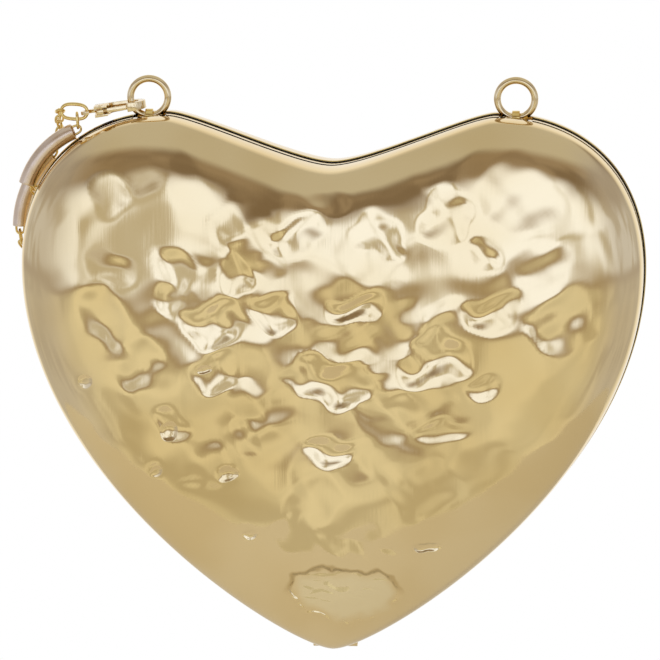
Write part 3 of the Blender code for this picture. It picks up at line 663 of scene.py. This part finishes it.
def waves(first, second, rows):
    """The sum of two sine waves along two directions, in mm."""
    runs = zip((first, second), rows)
    return sum(high * np.sin(run * rate + phase) for run, (high, rate, phase) in runs)


def dent_field(x, z, dents):
    """How far the hammer marks push the wall in, in metres."""
    total = np.zeros_like(x)
    sway = waves(z, x + z, SWAY_WAVES)
    lift = waves(x, x - z, LIFT_WAVES)
    for right, down, length, width, turn, depth in dents:
        bent = min(1.0, length / FULL_SWAY_LENGTH)
        across = x * 1000 - right + sway * bent
        up = (z - LOBE_TOP_Z) * 1000 + down + lift * bent
        angle = math.radians(turn)
        along = across * math.cos(angle) + up * math.sin(angle)
        aside = up * math.cos(angle) - across * math.sin(angle)
        reach = np.clip((along / length) ** 2 + (aside / width) ** 2, 0.0, 1.0)
        total += depth * (1.0 - reach) ** DENT_FALL
    return total / 1000


def facet_field(x, z, pitch, deep, shallow, seed):
    """Overlapping hollow facets with soft ridges between, in metres."""
    dice = np.random.default_rng(seed)
    total = np.zeros_like(x)
    shift = (-FACET_SHIFT, FACET_SHIFT)
    for right in np.arange(-FACET_SPAN, FACET_SPAN + 1, pitch):
        for down in np.arange(FACET_TOP, FACET_FOOT, pitch):
            spot = (right + dice.uniform(*shift) * pitch, down + dice.uniform(*shift) * pitch)
            size = pitch * dice.uniform(*FACET_SIZES)
            gap = ((x * 1000 - spot[0]) / size) ** 2 + (((z - LOBE_TOP_Z) * 1000 + spot[1]) / size) ** 2
            total += np.exp(-FACET_SHARPNESS * gap)
    hollow = 1 + np.log(total + 1e-9) / FACET_SHARPNESS
    down = (LOBE_TOP_Z - z) * 1000
    calm = eased(np.clip((down - CALM_FROM) / CALM_RUN, 0, 1))
    return (deep + (shallow - deep) * calm) * hollow / 1000


def scattered_dents(count, seed, least, greatest):
    """Shallow marks all over, hollow and raised, made the same way each time."""
    dice = np.random.default_rng(seed)
    rows = []
    for _ in range(count):
        length = dice.uniform(least, greatest)
        depth = dice.uniform(*SCATTER_DEPTHS) * length * (1 if dice.random() < SCATTER_HOLLOWS else -1)
        right = dice.uniform(-SCATTER_SPAN, SCATTER_SPAN)
        down = dice.uniform(SCATTER_TOP, SCATTER_FOOT)
        width = length * dice.uniform(0.5, 0.9)
        rows.append((right, down, length, width, dice.uniform(0, 180), depth))
    return rows


def shell_points(outline, rows, way, depth, dents, flat_share):
    """The outer skin from the rim to the crown, row by row."""
    share, height = side_profile(rows, depth)
    share = flat_share + (1 - flat_share) * share
    ray = outline - np.array([0.0, CROWN_Z])
    far = np.linalg.norm(ray, axis=1)
    unit = ray / far[:, None]
    blend = share**ROUNDING_SHARE
    reach = share[:, None] * (blend[:, None] * far + (1 - blend[:, None]) * CROWN_ROUND_RADIUS)
    x = reach * unit[:, 0]
    z = CROWN_Z + reach * unit[:, 1]
    marks = dent_field(x, z, dents) + facet_field(x, z, *COARSE_FACETS) + facet_field(x, z, *FINE_FACETS)
    press = marks * np.clip(height[:, None], 0, 1) ** RIM_CALM
    if flat_share:
        ease = np.clip((rows - np.arange(rows + 1)) / CROWN_EASE_ROWS, 0, 1)[:, None]
        press = press * eased(ease)
    y = way * (SHELL_RIM + (depth - SHELL_RIM) * height[:, None] - press)
    return np.stack([x, y, z], axis=2)


def wrap_grid(name, points, close_rows=False):
    """A grid primitive wrapped round the rows of points, closed where its sides meet."""
    if close_rows:
        points = np.concatenate([points, points[:1]])
    points = np.concatenate([points, points[:, :1]], axis=1)
    rows, count = points.shape[:2]
    start_clean()
    bpy.ops.mesh.primitive_grid_add(x_subdivisions=count - 1, y_subdivisions=rows - 1, size=1)
    piece = bpy.context.object
    piece.name = name
    place = np.array([vertex.co[:2] for vertex in piece.data.vertices])
    column = np.rint((place[:, 0] + 0.5) * (count - 1)).astype(int)
    row = np.rint((place[:, 1] + 0.5) * (rows - 1)).astype(int)
    order = row * count + column
    piece.data.vertices.foreach_set("co", points.reshape(-1, 3)[order].ravel())
    piece.data.update()
    tidy_mesh(piece)
    return piece


def add_arc_tube(name, radius, arc_centre, start, travel, angle, sides, steps):
    """A circle spun round an arc in the upright plane."""
    start_clean()
    turn = Vector((0, 0, 1)).rotation_difference(travel).to_euler()
    bpy.ops.mesh.primitive_circle_add(vertices=sides, radius=radius, location=start, rotation=turn)
    piece = bpy.context.object
    piece.name = name
    to_mesh_place(piece)
    bpy.ops.object.mode_set(mode="EDIT")
    bpy.ops.mesh.select_all(action="SELECT")
    bpy.ops.mesh.spin(steps=steps, angle=angle, center=arc_centre, axis=(0, 1, 0))
    bpy.ops.object.mode_set(mode="OBJECT")
    return piece


def tube_arc(top, end):
    """The arc of a strap tube: its centre, radius, half angle, outward direction and chord direction."""
    first = Vector((top[0], top[1], LOBE_TOP_Z - top[2]))
    last = Vector((end[0], end[1], LOBE_TOP_Z - end[2]))
    chord = last - first
    out = Vector((0, 1, 0)).cross(chord).normalized()
    half = chord.length / 2
    bend = (half * half + TUBE_BOW * TUBE_BOW) / (2 * TUBE_BOW)
    centre = (first + last) / 2 - (bend - TUBE_BOW) * out
    return centre, bend, math.asin(half / bend), out, chord.normalized()


def spin_way(centre, start, travel):
    """The sign of spin about +Y that carries the start along the travel direction."""
    return -1 if Vector((0, 1, 0)).cross(start - centre).dot(travel) > 0 else 1


def add_strap_tube(node, finish, line_finish):
    """One bowed tube: a rolled wall with soft mouths, a seam line on its inner side, and its bars."""
    centre, bend, reach, out, along = tube_arc(*TUBES[node])
    ray = math.cos(-reach) * out + math.sin(-reach) * along
    travel = math.cos(-reach) * along - math.sin(-reach) * out
    start = centre + bend * ray
    angle = spin_way(centre, start, travel) * 2 * reach
    tube = add_arc_tube(
        "wall_" + node, TUBE_RADIUS, centre, start, travel, angle, TUBE_SIDES, TUBE_STEPS
    )
    tidy_mesh(tube)
    apply_modifier(tube, "SOLIDIFY", thickness=TUBE_WALL, offset=-1)
    soften_edges(tube, TUBE_MOUTH_SOFT, 3, TUBE_EDGE_ANGLE)
    place_piece(tube, finish, node)
    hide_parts(node)
    start = centre + (bend - TUBE_RADIUS + TUBE_SEAM_SINK) * ray
    seam = add_arc_tube(
        "seam_" + node, TUBE_SEAM_RADIUS, centre, start, travel, angle, TUBE_SEAM_SIDES, TUBE_STEPS
    )
    tidy_mesh(seam, fill=True)
    place_piece(seam, line_finish, node)
    inset = BAR_INSET / (2 * bend * reach)
    for index, share in enumerate((inset, 1 - inset)):
        turn = reach * (2 * share - 1)
        start_clean()
        bpy.ops.mesh.primitive_cylinder_add(
            vertices=BAR_SIDES, radius=BAR_RADIUS, depth=2 * TUBE_RADIUS - TUBE_WALL,
            location=centre + bend * (math.cos(turn) * out + math.sin(turn) * along),
            rotation=(math.radians(90), 0, 0),
        )
        bar = bpy.context.object
        bar.name = f"bar_{node}_{index + 1}"
        to_mesh_place(bar)
        soften_edges(bar, BAR_SOFT, 2, TUBE_EDGE_ANGLE)
        place_piece(bar, line_finish, node)


# What a user would change
class HeartBagSizes(bpy.types.PropertyGroup):
    around: bpy.props.IntProperty(
        name="Points round", description="Mesh points round the rim of each shell", default=420, min=64
    )
    front_rows: bpy.props.IntProperty(
        name="Front rows", description="Mesh rows from the front's rim to its crown", default=100, min=12
    )
    back_rows: bpy.props.IntProperty(
        name="Back rows", description="Mesh rows from the back's rim to its crown", default=48, min=12
    )
    hammer: bpy.props.FloatProperty(
        name="Hammer depth", description="Share of the marks' full depth", default=1.0, subtype="FACTOR"
    )
    edge: bpy.props.FloatProperty(
        name="Edge softness", description="Bevel on the small fittings", default=0.00015,
        unit="LENGTH", precision=5,
    )


class HeartBagColours(bpy.types.PropertyGroup):
    gold_light: bpy.props.FloatVectorProperty(
        name="Shell gold", description="Lighter tone of the shells", default=(0.84, 0.66, 0.36),
        size=3, subtype="COLOR",
    )
    gold_deep: bpy.props.FloatVectorProperty(
        name="Shell gold, deep", description="Deeper tone of the shells", default=(0.79, 0.60, 0.30),
        size=3, subtype="COLOR",
    )
    bright_light: bpy.props.FloatVectorProperty(
        name="Bright gold", description="Rims and seam lines", default=(0.90, 0.68, 0.26),
        size=3, subtype="COLOR",
    )
    bright_deep: bpy.props.FloatVectorProperty(
        name="Bright gold, deep", description="Deeper tone of the rims", default=(0.78, 0.54, 0.16),
        size=3, subtype="COLOR",
    )
    satin_light: bpy.props.FloatVectorProperty(
        name="Satin gold", description="Strap tubes", default=(0.84, 0.68, 0.50),
        size=3, subtype="COLOR",
    )
    satin_deep: bpy.props.FloatVectorProperty(
        name="Satin gold, deep", description="Deeper tone of the tubes", default=(0.74, 0.56, 0.36),
        size=3, subtype="COLOR",
    )
    cloth_light: bpy.props.FloatVectorProperty(
        name="Lining", description="Lining cloth", default=(0.16, 0.13, 0.11),
        size=3, subtype="COLOR",
    )
    cloth_deep: bpy.props.FloatVectorProperty(
        name="Lining, deep", description="Between the lining's threads", default=(0.04, 0.03, 0.03),
        size=3, subtype="COLOR",
    )
    steel_light: bpy.props.FloatVectorProperty(
        name="Steel", description="Hinge and catch", default=(0.72, 0.64, 0.50),
        size=3, subtype="COLOR",
    )
    steel_deep: bpy.props.FloatVectorProperty(
        name="Steel, deep", description="Deeper tone of the steel", default=(0.50, 0.43, 0.32),
        size=3, subtype="COLOR",
    )


FINISHES = {}


def finishes():
    """All the finishes, made once, each with its lighter and its deeper tone."""
    if not FINISHES:
        tones = bpy.context.scene.heart_bag_colours
        gold = (tuple(tones.gold_light), tuple(tones.gold_deep))
        bright = (tuple(tones.bright_light), tuple(tones.bright_deep))
        satin = (tuple(tones.satin_light), tuple(tones.satin_deep))
        cloth = (tuple(tones.cloth_light), tuple(tones.cloth_deep))
        steel = (tuple(tones.steel_light), tuple(tones.steel_deep))
        FINISHES["hammered"] = make_hammered_gold("hammered_gold", *gold)
        FINISHES["polished"] = make_polished_gold("polished_gold", *gold, 0.12)
        FINISHES["wire"] = make_polished_gold("wire_gold", *bright, 0.14)
        FINISHES["bright"] = make_polished_gold("bright_gold", *bright, 0.10)
        FINISHES["rim"] = make_rim_gold("rim_gold", *bright)
        FINISHES["satin"] = make_satin_gold("satin_gold", *satin)
        FINISHES["cloth"] = make_lining_cloth("lining_cloth", *cloth)
        FINISHES["plated"] = make_plain_steel("plated_steel", *gold)
        FINISHES["steel"] = make_plain_steel("plain_steel", *steel)
    return FINISHES


def rim_notches():
    """Room for both rings' staples and for the hinge, as boxes."""
    boxes = []
    for side in (-1, 1):
        low = (side * RING_X - NOTCH_HALF, -NOTCH_REACH, LOBE_TOP_Z - NOTCH_DEPTH)
        high = (side * RING_X + NOTCH_HALF, NOTCH_REACH, LOBE_TOP_Z + CUT_OVERRUN)
        boxes.append((low, high))
    low = (-RELIEF_HALF, -RELIEF_REACH, TIP_Z - CUT_OVERRUN)
    boxes.append((low, (RELIEF_HALF, RELIEF_REACH, TIP_Z + RELIEF_RISE)))
    return boxes


def add_shell(node, way, depth, rows, dents, flat_share):
    """One half shell, of sheet, from its rim to a round or a flat crown."""
    sizes = bpy.context.scene.heart_bag_sizes
    dents = [(*row[:5], row[5] * sizes.hammer) for row in dents]
    points = shell_points(heart_outline(sizes.around), rows, way, depth, dents, flat_share)
    if flat_share:
        middle = np.broadcast_to([0.0, way * depth, CROWN_Z], points[-1:].shape)
        points = np.concatenate([points, middle])
    shell = wrap_grid("skin_" + node, points)
    apply_modifier(shell, "SOLIDIFY", thickness=WALL, offset=-1)
    cut_boxes(shell, rim_notches())
    place_piece(shell, finishes()["hammered"], node, SHELL_SMOOTH_ANGLE)
    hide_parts(node)


def add_rim(node, way, proud):
    """The angle section bent round the heart, with a rounded lip that shows as a bright line."""
    back = FLANGE_INSET + FLANGE_THICK
    profile = (
        (-proud + RIM_SOFT, LIP_NEAR), (-proud, LIP_NEAR + RIM_SOFT),
        (-proud, LIP_FAR - RIM_SOFT), (-proud + RIM_SOFT, LIP_FAR),
        (FLANGE_INSET, LIP_FAR), (FLANGE_INSET, FLANGE_HEIGHT - RIM_SOFT),
        (FLANGE_INSET + RIM_SOFT, FLANGE_HEIGHT), (back - RIM_SOFT, FLANGE_HEIGHT),
        (back, FLANGE_HEIGHT - RIM_SOFT), (back, LIP_NEAR),
    )
    outline = heart_outline(bpy.context.scene.heart_bag_sizes.around)
    rows = []
    for inwards, depth in profile:
        ring = moved_in(outline, inwards)
        rows.append(np.stack([ring[:, 0], np.full(len(ring), way * depth), ring[:, 1]], axis=1))
    rim = wrap_grid("rim_" + node, np.array(rows), close_rows=True)
    cut_boxes(rim, rim_notches())
    place_piece(rim, finishes()["rim"], node)
    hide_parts(node)


def mark_ring_joint(ring, centre):
    """The fine line where the bent wire's two ends meet, low on the ring."""
    joint = Vector((math.cos(RING_JOINT_BEARING), 0, math.sin(RING_JOINT_BEARING)))
    across = Vector((-joint.z, 0, joint.x))
    for vertex in ring.data.vertices:
        offset = vertex.co - centre
        if offset.dot(joint) > 0 and abs(offset.dot(across)) < RING_JOINT_HALF:
            middle = centre + RING_RADIUS * offset.normalized()
            vertex.co = middle + RING_JOINT_SHRINK * (vertex.co - middle)


class HEARTBAG_OT_front_shell(bpy.types.Operator):
    """Build the hammered front shell"""

    bl_idname = "heart_bag.front_shell"
    bl_label = "Front shell"

    def execute(self, context):
        sizes = context.scene.heart_bag_sizes
        dents = (*DENTS, *scattered_dents(*FRONT_SCATTER))
        add_shell("front_shell", -1, FRONT_DEPTH, sizes.front_rows, dents, 0.0)
        return {"FINISHED"}


class HEARTBAG_OT_back_shell(bpy.types.Operator):
    """Build the hammered back shell with its flat crown"""

    bl_idname = "heart_bag.back_shell"
    bl_label = "Back shell"

    def execute(self, context):
        sizes = context.scene.heart_bag_sizes
        dents = (*BACK_DENTS, *scattered_dents(*BACK_SCATTER))
        add_shell("back_shell", 1, BACK_DEPTH, sizes.back_rows, dents, BACK_FLAT_SHARE)
        return {"FINISHED"}


class HEARTBAG_OT_rims(bpy.types.Operator):
    """Build both rim frames"""

    bl_idname = "heart_bag.rims"
    bl_label = "Rim frames"

    def execute(self, context):
        add_rim("front_frame", -1, FRONT_LIP_PROUD)
        add_rim("back_frame", 1, BACK_LIP_PROUD)
        return {"FINISHED"}


class HEARTBAG_OT_rings(bpy.types.Operator):
    """Build the two chain rings and their staples"""

    bl_idname = "heart_bag.rings"
    bl_label = "Rings"

    def execute(self, context):
        for side, word in ((-1, "left"), (1, "right")):
            centre = Vector((side * RING_X, 0, RING_AXIS_Z + RING_RADIUS))
            start_clean()
            bpy.ops.mesh.primitive_torus_add(
                major_segments=RING_TURNS, minor_segments=RING_SIDES,
                major_radius=RING_RADIUS, minor_radius=RING_WIRE,
                location=centre, rotation=(math.radians(90), 0, 0),
            )
            ring = bpy.context.object
            ring.name = "round_ring_" + word
            to_mesh_place(ring)
            mark_ring_joint(ring, centre)
            place_piece(ring, finishes()["polished"], "ring_" + word)
            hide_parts("ring_" + word)
            edge = context.scene.heart_bag_sizes.edge
            refined_copy("ring_staple_" + word, finishes()["bright"], bevel=edge)
        return {"FINISHED"}


class HEARTBAG_OT_clasp(bpy.types.Operator):
    """Build the lobster clasp from finer copies of its solids"""

    bl_idname = "heart_bag.clasp"
    bl_label = "Clasp"

    def execute(self, context):
        edge = context.scene.heart_bag_sizes.edge
        refined_copy("clasp_body", finishes()["polished"], bevel=2 * edge)
        refined_copy("clasp_gate", finishes()["polished"], bevel=edge)
        refined_copy("clasp_rivet", finishes()["bright"], bevel=edge / 2)
        return {"FINISHED"}


class HEARTBAG_OT_strap(bpy.types.Operator):
    """Build the strap's tubes and links"""

    bl_idname = "heart_bag.strap"
    bl_label = "Wrist strap"

    def execute(self, context):
        for node in TUBES:
            add_strap_tube(node, finishes()["satin"], finishes()["bright"])
        for node in sorted(frame["nodes"]):
            if node.startswith("link_"):
                refined_copy(node, finishes()["wire"], levels=2, swell=LINK_SWELL)
        refined_copy("oval_link", finishes()["wire"], levels=2, swell=OVAL_SWELL)
        return {"FINISHED"}


class HEARTBAG_OT_inside(bpy.types.Operator):
    """Build the linings and the magnetic catch"""

    bl_idname = "heart_bag.inside"
    bl_label = "Inside"

    def execute(self, context):
        edge = context.scene.heart_bag_sizes.edge
        for node in ("front_lining", "back_lining"):
            refined_copy(node, finishes()["cloth"], bevel=edge)
        for node in ("catch_magnet", "catch_plate"):
            refined_copy(node, finishes()["steel"], bevel=edge)
        for node in ("catch_magnet_bracket", "catch_plate_bracket"):
            refined_copy(node, finishes()["bright"], bevel=edge / 2)
        return {"FINISHED"}


class HEARTBAG_OT_hinge(bpy.types.Operator):
    """Build the hinge at the tip"""

    bl_idname = "heart_bag.hinge"
    bl_label = "Hinge"

    def execute(self, context):
        edge = context.scene.heart_bag_sizes.edge
        for node in ("hinge_leaf_front", "hinge_leaf_back", "hinge_pin"):
            refined_copy(node, finishes()["plated"], bevel=edge / 2)
        return {"FINISHED"}


# Studio
AIM = Vector((-0.0011, 0.0, -0.0724))
CAMERA_AZIMUTH = math.radians(4.5)
CAMERA_RISE = math.radians(10)
CAMERA_ROLL = math.radians(-0.35)
CAMERA_DISTANCE = 2.6
CAMERA_LENS = 490.0
CAMERA_SENSOR = 36.0
FLOOR_RADIUS = 0.60
FLOOR_Z = -0.42
FLOOR_SIDES = 96
FLOOR_COLOUR = (0.92, 0.90, 0.82, 1.0)
FLOOR_ROUGHNESS = 0.9
FLOOR_LIFT = (0.65, 0.65, 0.65)
LAMP_PLACE = (-0.9, -1.2, 1.6)
LAMP_SIZE = 1.1
LAMP_POWER = 14.0
LAMP_COLOUR = (1.0, 0.99, 0.97)
# Soft patches in the surroundings: scale, detail, and the noise's range from one tone to the other
PATCHES = (3.2, 2.0, 0.38, 0.60)
BREAKS = (7.0, 1.0, 0.42, 0.56)
CLOUDS = (4.2, 1.0, 0.36, 0.56)
# What the metal reflects, as pairs of tones between which the patches change
BRIGHT_TONES = ((0.62, 0.62, 0.62), (1.16, 1.34, 1.92))
BRIGHT_TONES_BEHIND = ((0.62, 0.66, 0.74), (0.92, 1.00, 1.22))
LOW_TONES = ((0.70, 0.69, 0.61), (0.86, 0.85, 0.76))
DARK_TONES = ((0.24, 0.19, 0.15), (0.36, 0.30, 0.25))
NEAR_TONE = (0.59, 0.565, 0.475)
LINE_TONE = (0.42, 0.36, 0.28)
TOP_TONE = (0.60, 0.60, 0.60)
SIDE_TONE = (0.52, 0.53, 0.64)
SIDE_SHARE = 0.75
WHITE = (1.0, 1.0, 1.0, 1.0)
# Between which shares of a direction's reach backwards or sideways each change comes in
BEHIND_DIMS = (0.10, 0.50)
BEHIND_WHITE = (0.55, 0.85)
SIDES = (0.45, 0.85)


def build_surroundings():
    """White behind the bag; pale and dark bands all round it for the metal to reflect."""
    world = bpy.data.worlds.new("studio")
    bpy.context.scene.world = world
    world.use_nodes = True
    made = Graph(world.node_tree)
    made.tree.nodes.clear()
    way = made.node("ShaderNodeTexCoord").outputs["Generated"]
    x, y, z = made.axes(way)

    def patchwork(scale, detail, low, high):
        inputs = {"Vector": way, "Scale": scale, "Detail": detail}
        return made.value(made.node("ShaderNodeTexNoise", inputs=inputs).outputs["Fac"]).step(low, high)

    patches = patchwork(*PATCHES)
    bright = made.blend(patchwork(*CLOUDS), *BRIGHT_TONES)
    bright = made.blend(y.step(*BEHIND_DIMS), bright, made.blend(patches, *BRIGHT_TONES_BEHIND))
    low = made.blend(patches, *LOW_TONES)
    near = made.blend(patchwork(*BREAKS), NEAR_TONE, low)
    bands = (
        (-0.50, -0.42, near),
        (-0.38, -0.30, low),
        (-0.24, -0.20, near),
        (-0.19, -0.14, LINE_TONE),
        (-0.14, -0.08, bright),
        (0.16, 0.36, made.blend(patches, *DARK_TONES)),
        (0.54, 0.72, TOP_TONE),
    )
    colour = low
    for foot, top, tone in bands:
        colour = made.blend(z.step(foot, top), colour, tone)
    colour = made.blend(x.size().step(*SIDES) * SIDE_SHARE, colour, SIDE_TONE)
    around = made.node("ShaderNodeBackground", inputs={"Color": colour, "Strength": 1.0})
    behind = made.node("ShaderNodeBackground", inputs={"Color": WHITE, "Strength": 1.0})
    path = made.node("ShaderNodeLightPath").outputs
    mirrored = made.value(path["Is Glossy Ray"]) + made.value(path["Is Transmission Ray"])
    seen = made.value(path["Is Camera Ray"]) + mirrored * y.step(*BEHIND_WHITE)
    mix = made.node("ShaderNodeMixShader", inputs={"Fac": seen})
    made.tree.links.new(around.outputs[0], mix.inputs[1])
    made.tree.links.new(behind.outputs[0], mix.inputs[2])
    out = made.node("ShaderNodeOutputWorld")
    made.tree.links.new(mix.outputs[0], out.inputs["Surface"])


def build_floor():
    """A pale floor that keeps the bag's shadow, lifted to white for the camera alone."""
    start_clean()
    bpy.ops.mesh.primitive_circle_add(
        vertices=FLOOR_SIDES, radius=FLOOR_RADIUS, fill_type="NGON", location=(0, 0, FLOOR_Z)
    )
    floor = bpy.context.object
    floor.name = "floor"
    to_mesh_place(floor)
    made = Finish("floor_white", metallic=0.0)
    made.surface(FLOOR_COLOUR, FLOOR_ROUGHNESS)
    seen = made.node("ShaderNodeLightPath").outputs["Is Camera Ray"]
    made.feed(made.shader.inputs["Emission Color"], made.blend(seen, (0.0, 0.0, 0.0), FLOOR_LIFT))
    made.shader.inputs["Emission Strength"].default_value = 1.0
    floor.data.materials.append(made.material)


def build_light():
    """One large soft light from the upper left, as in the photograph."""
    lamp = bpy.data.lights.new("soft_box", "AREA")
    lamp.shape = "DISK"
    lamp.size = LAMP_SIZE
    lamp.energy = LAMP_POWER
    lamp.color = LAMP_COLOUR
    holder = bpy.data.objects.new("soft_box", lamp)
    holder.location = LAMP_PLACE
    holder.visible_glossy = False
    holder.rotation_euler = (AIM - holder.location).to_track_quat("-Z", "Y").to_euler()
    bpy.context.scene.collection.objects.link(holder)


def build_camera():
    """The photograph's view: a long lens, a little to the right and above."""
    camera = bpy.data.cameras.new("camera")
    camera.lens = CAMERA_LENS
    camera.sensor_width = CAMERA_SENSOR
    holder = bpy.data.objects.new("camera", camera)
    across = math.sin(CAMERA_AZIMUTH) * math.cos(CAMERA_RISE)
    away = math.cos(CAMERA_AZIMUTH) * math.cos(CAMERA_RISE)
    ray = Vector((across, -away, math.sin(CAMERA_RISE)))
    holder.location = AIM + CAMERA_DISTANCE * ray
    level = (-ray).to_track_quat("-Z", "Y").to_matrix()
    holder.rotation_euler = (level @ Matrix.Rotation(CAMERA_ROLL, 3, "Z")).to_euler()
    bpy.context.scene.collection.objects.link(holder)
    bpy.context.scene.camera = holder


class HEARTBAG_OT_stage(bpy.types.Operator):
    """Build the studio: surroundings, floor, light and camera"""

    bl_idname = "heart_bag.stage"
    bl_label = "Studio"

    def execute(self, context):
        build_surroundings()
        build_floor()
        build_light()
        build_camera()
        context.scene.view_settings.view_transform = "Standard"
        return {"FINISHED"}


OPERATORS = (
    HEARTBAG_OT_front_shell,
    HEARTBAG_OT_back_shell,
    HEARTBAG_OT_rims,
    HEARTBAG_OT_rings,
    HEARTBAG_OT_clasp,
    HEARTBAG_OT_strap,
    HEARTBAG_OT_inside,
    HEARTBAG_OT_hinge,
    HEARTBAG_OT_stage,
)


class HEARTBAG_PT_panel(bpy.types.Panel):
    bl_label = "Evening bag"
    bl_idname = "HEARTBAG_PT_panel"
    bl_space_type = "VIEW_3D"
    bl_region_type = "UI"
    bl_category = "Evening bag"

    def draw(self, context):
        for group in (context.scene.heart_bag_sizes, context.scene.heart_bag_colours):
            for name in group.bl_rna.properties.keys():
                if name not in ("rna_type", "name"):
                    self.layout.prop(group, name)
        for operator in OPERATORS:
            self.layout.operator(operator.bl_idname)


CLASSES = (HeartBagSizes, HeartBagColours, *OPERATORS, HEARTBAG_PT_panel)


def register():
    for entry in CLASSES:
        bpy.utils.register_class(entry)
    bpy.types.Scene.heart_bag_sizes = bpy.props.PointerProperty(type=HeartBagSizes)
    bpy.types.Scene.heart_bag_colours = bpy.props.PointerProperty(type=HeartBagColours)


def unregister():
    del bpy.types.Scene.heart_bag_colours
    del bpy.types.Scene.heart_bag_sizes
    for entry in reversed(CLASSES):
        bpy.utils.unregister_class(entry)


def main():
    register()
    bpy.ops.heart_bag.front_shell()
    bpy.ops.heart_bag.back_shell()
    bpy.ops.heart_bag.rims()
    bpy.ops.heart_bag.rings()
    bpy.ops.heart_bag.clasp()
    bpy.ops.heart_bag.strap()
    bpy.ops.heart_bag.inside()
    bpy.ops.heart_bag.hinge()
    bpy.ops.heart_bag.stage()


if __name__ == "__main__":
    main()
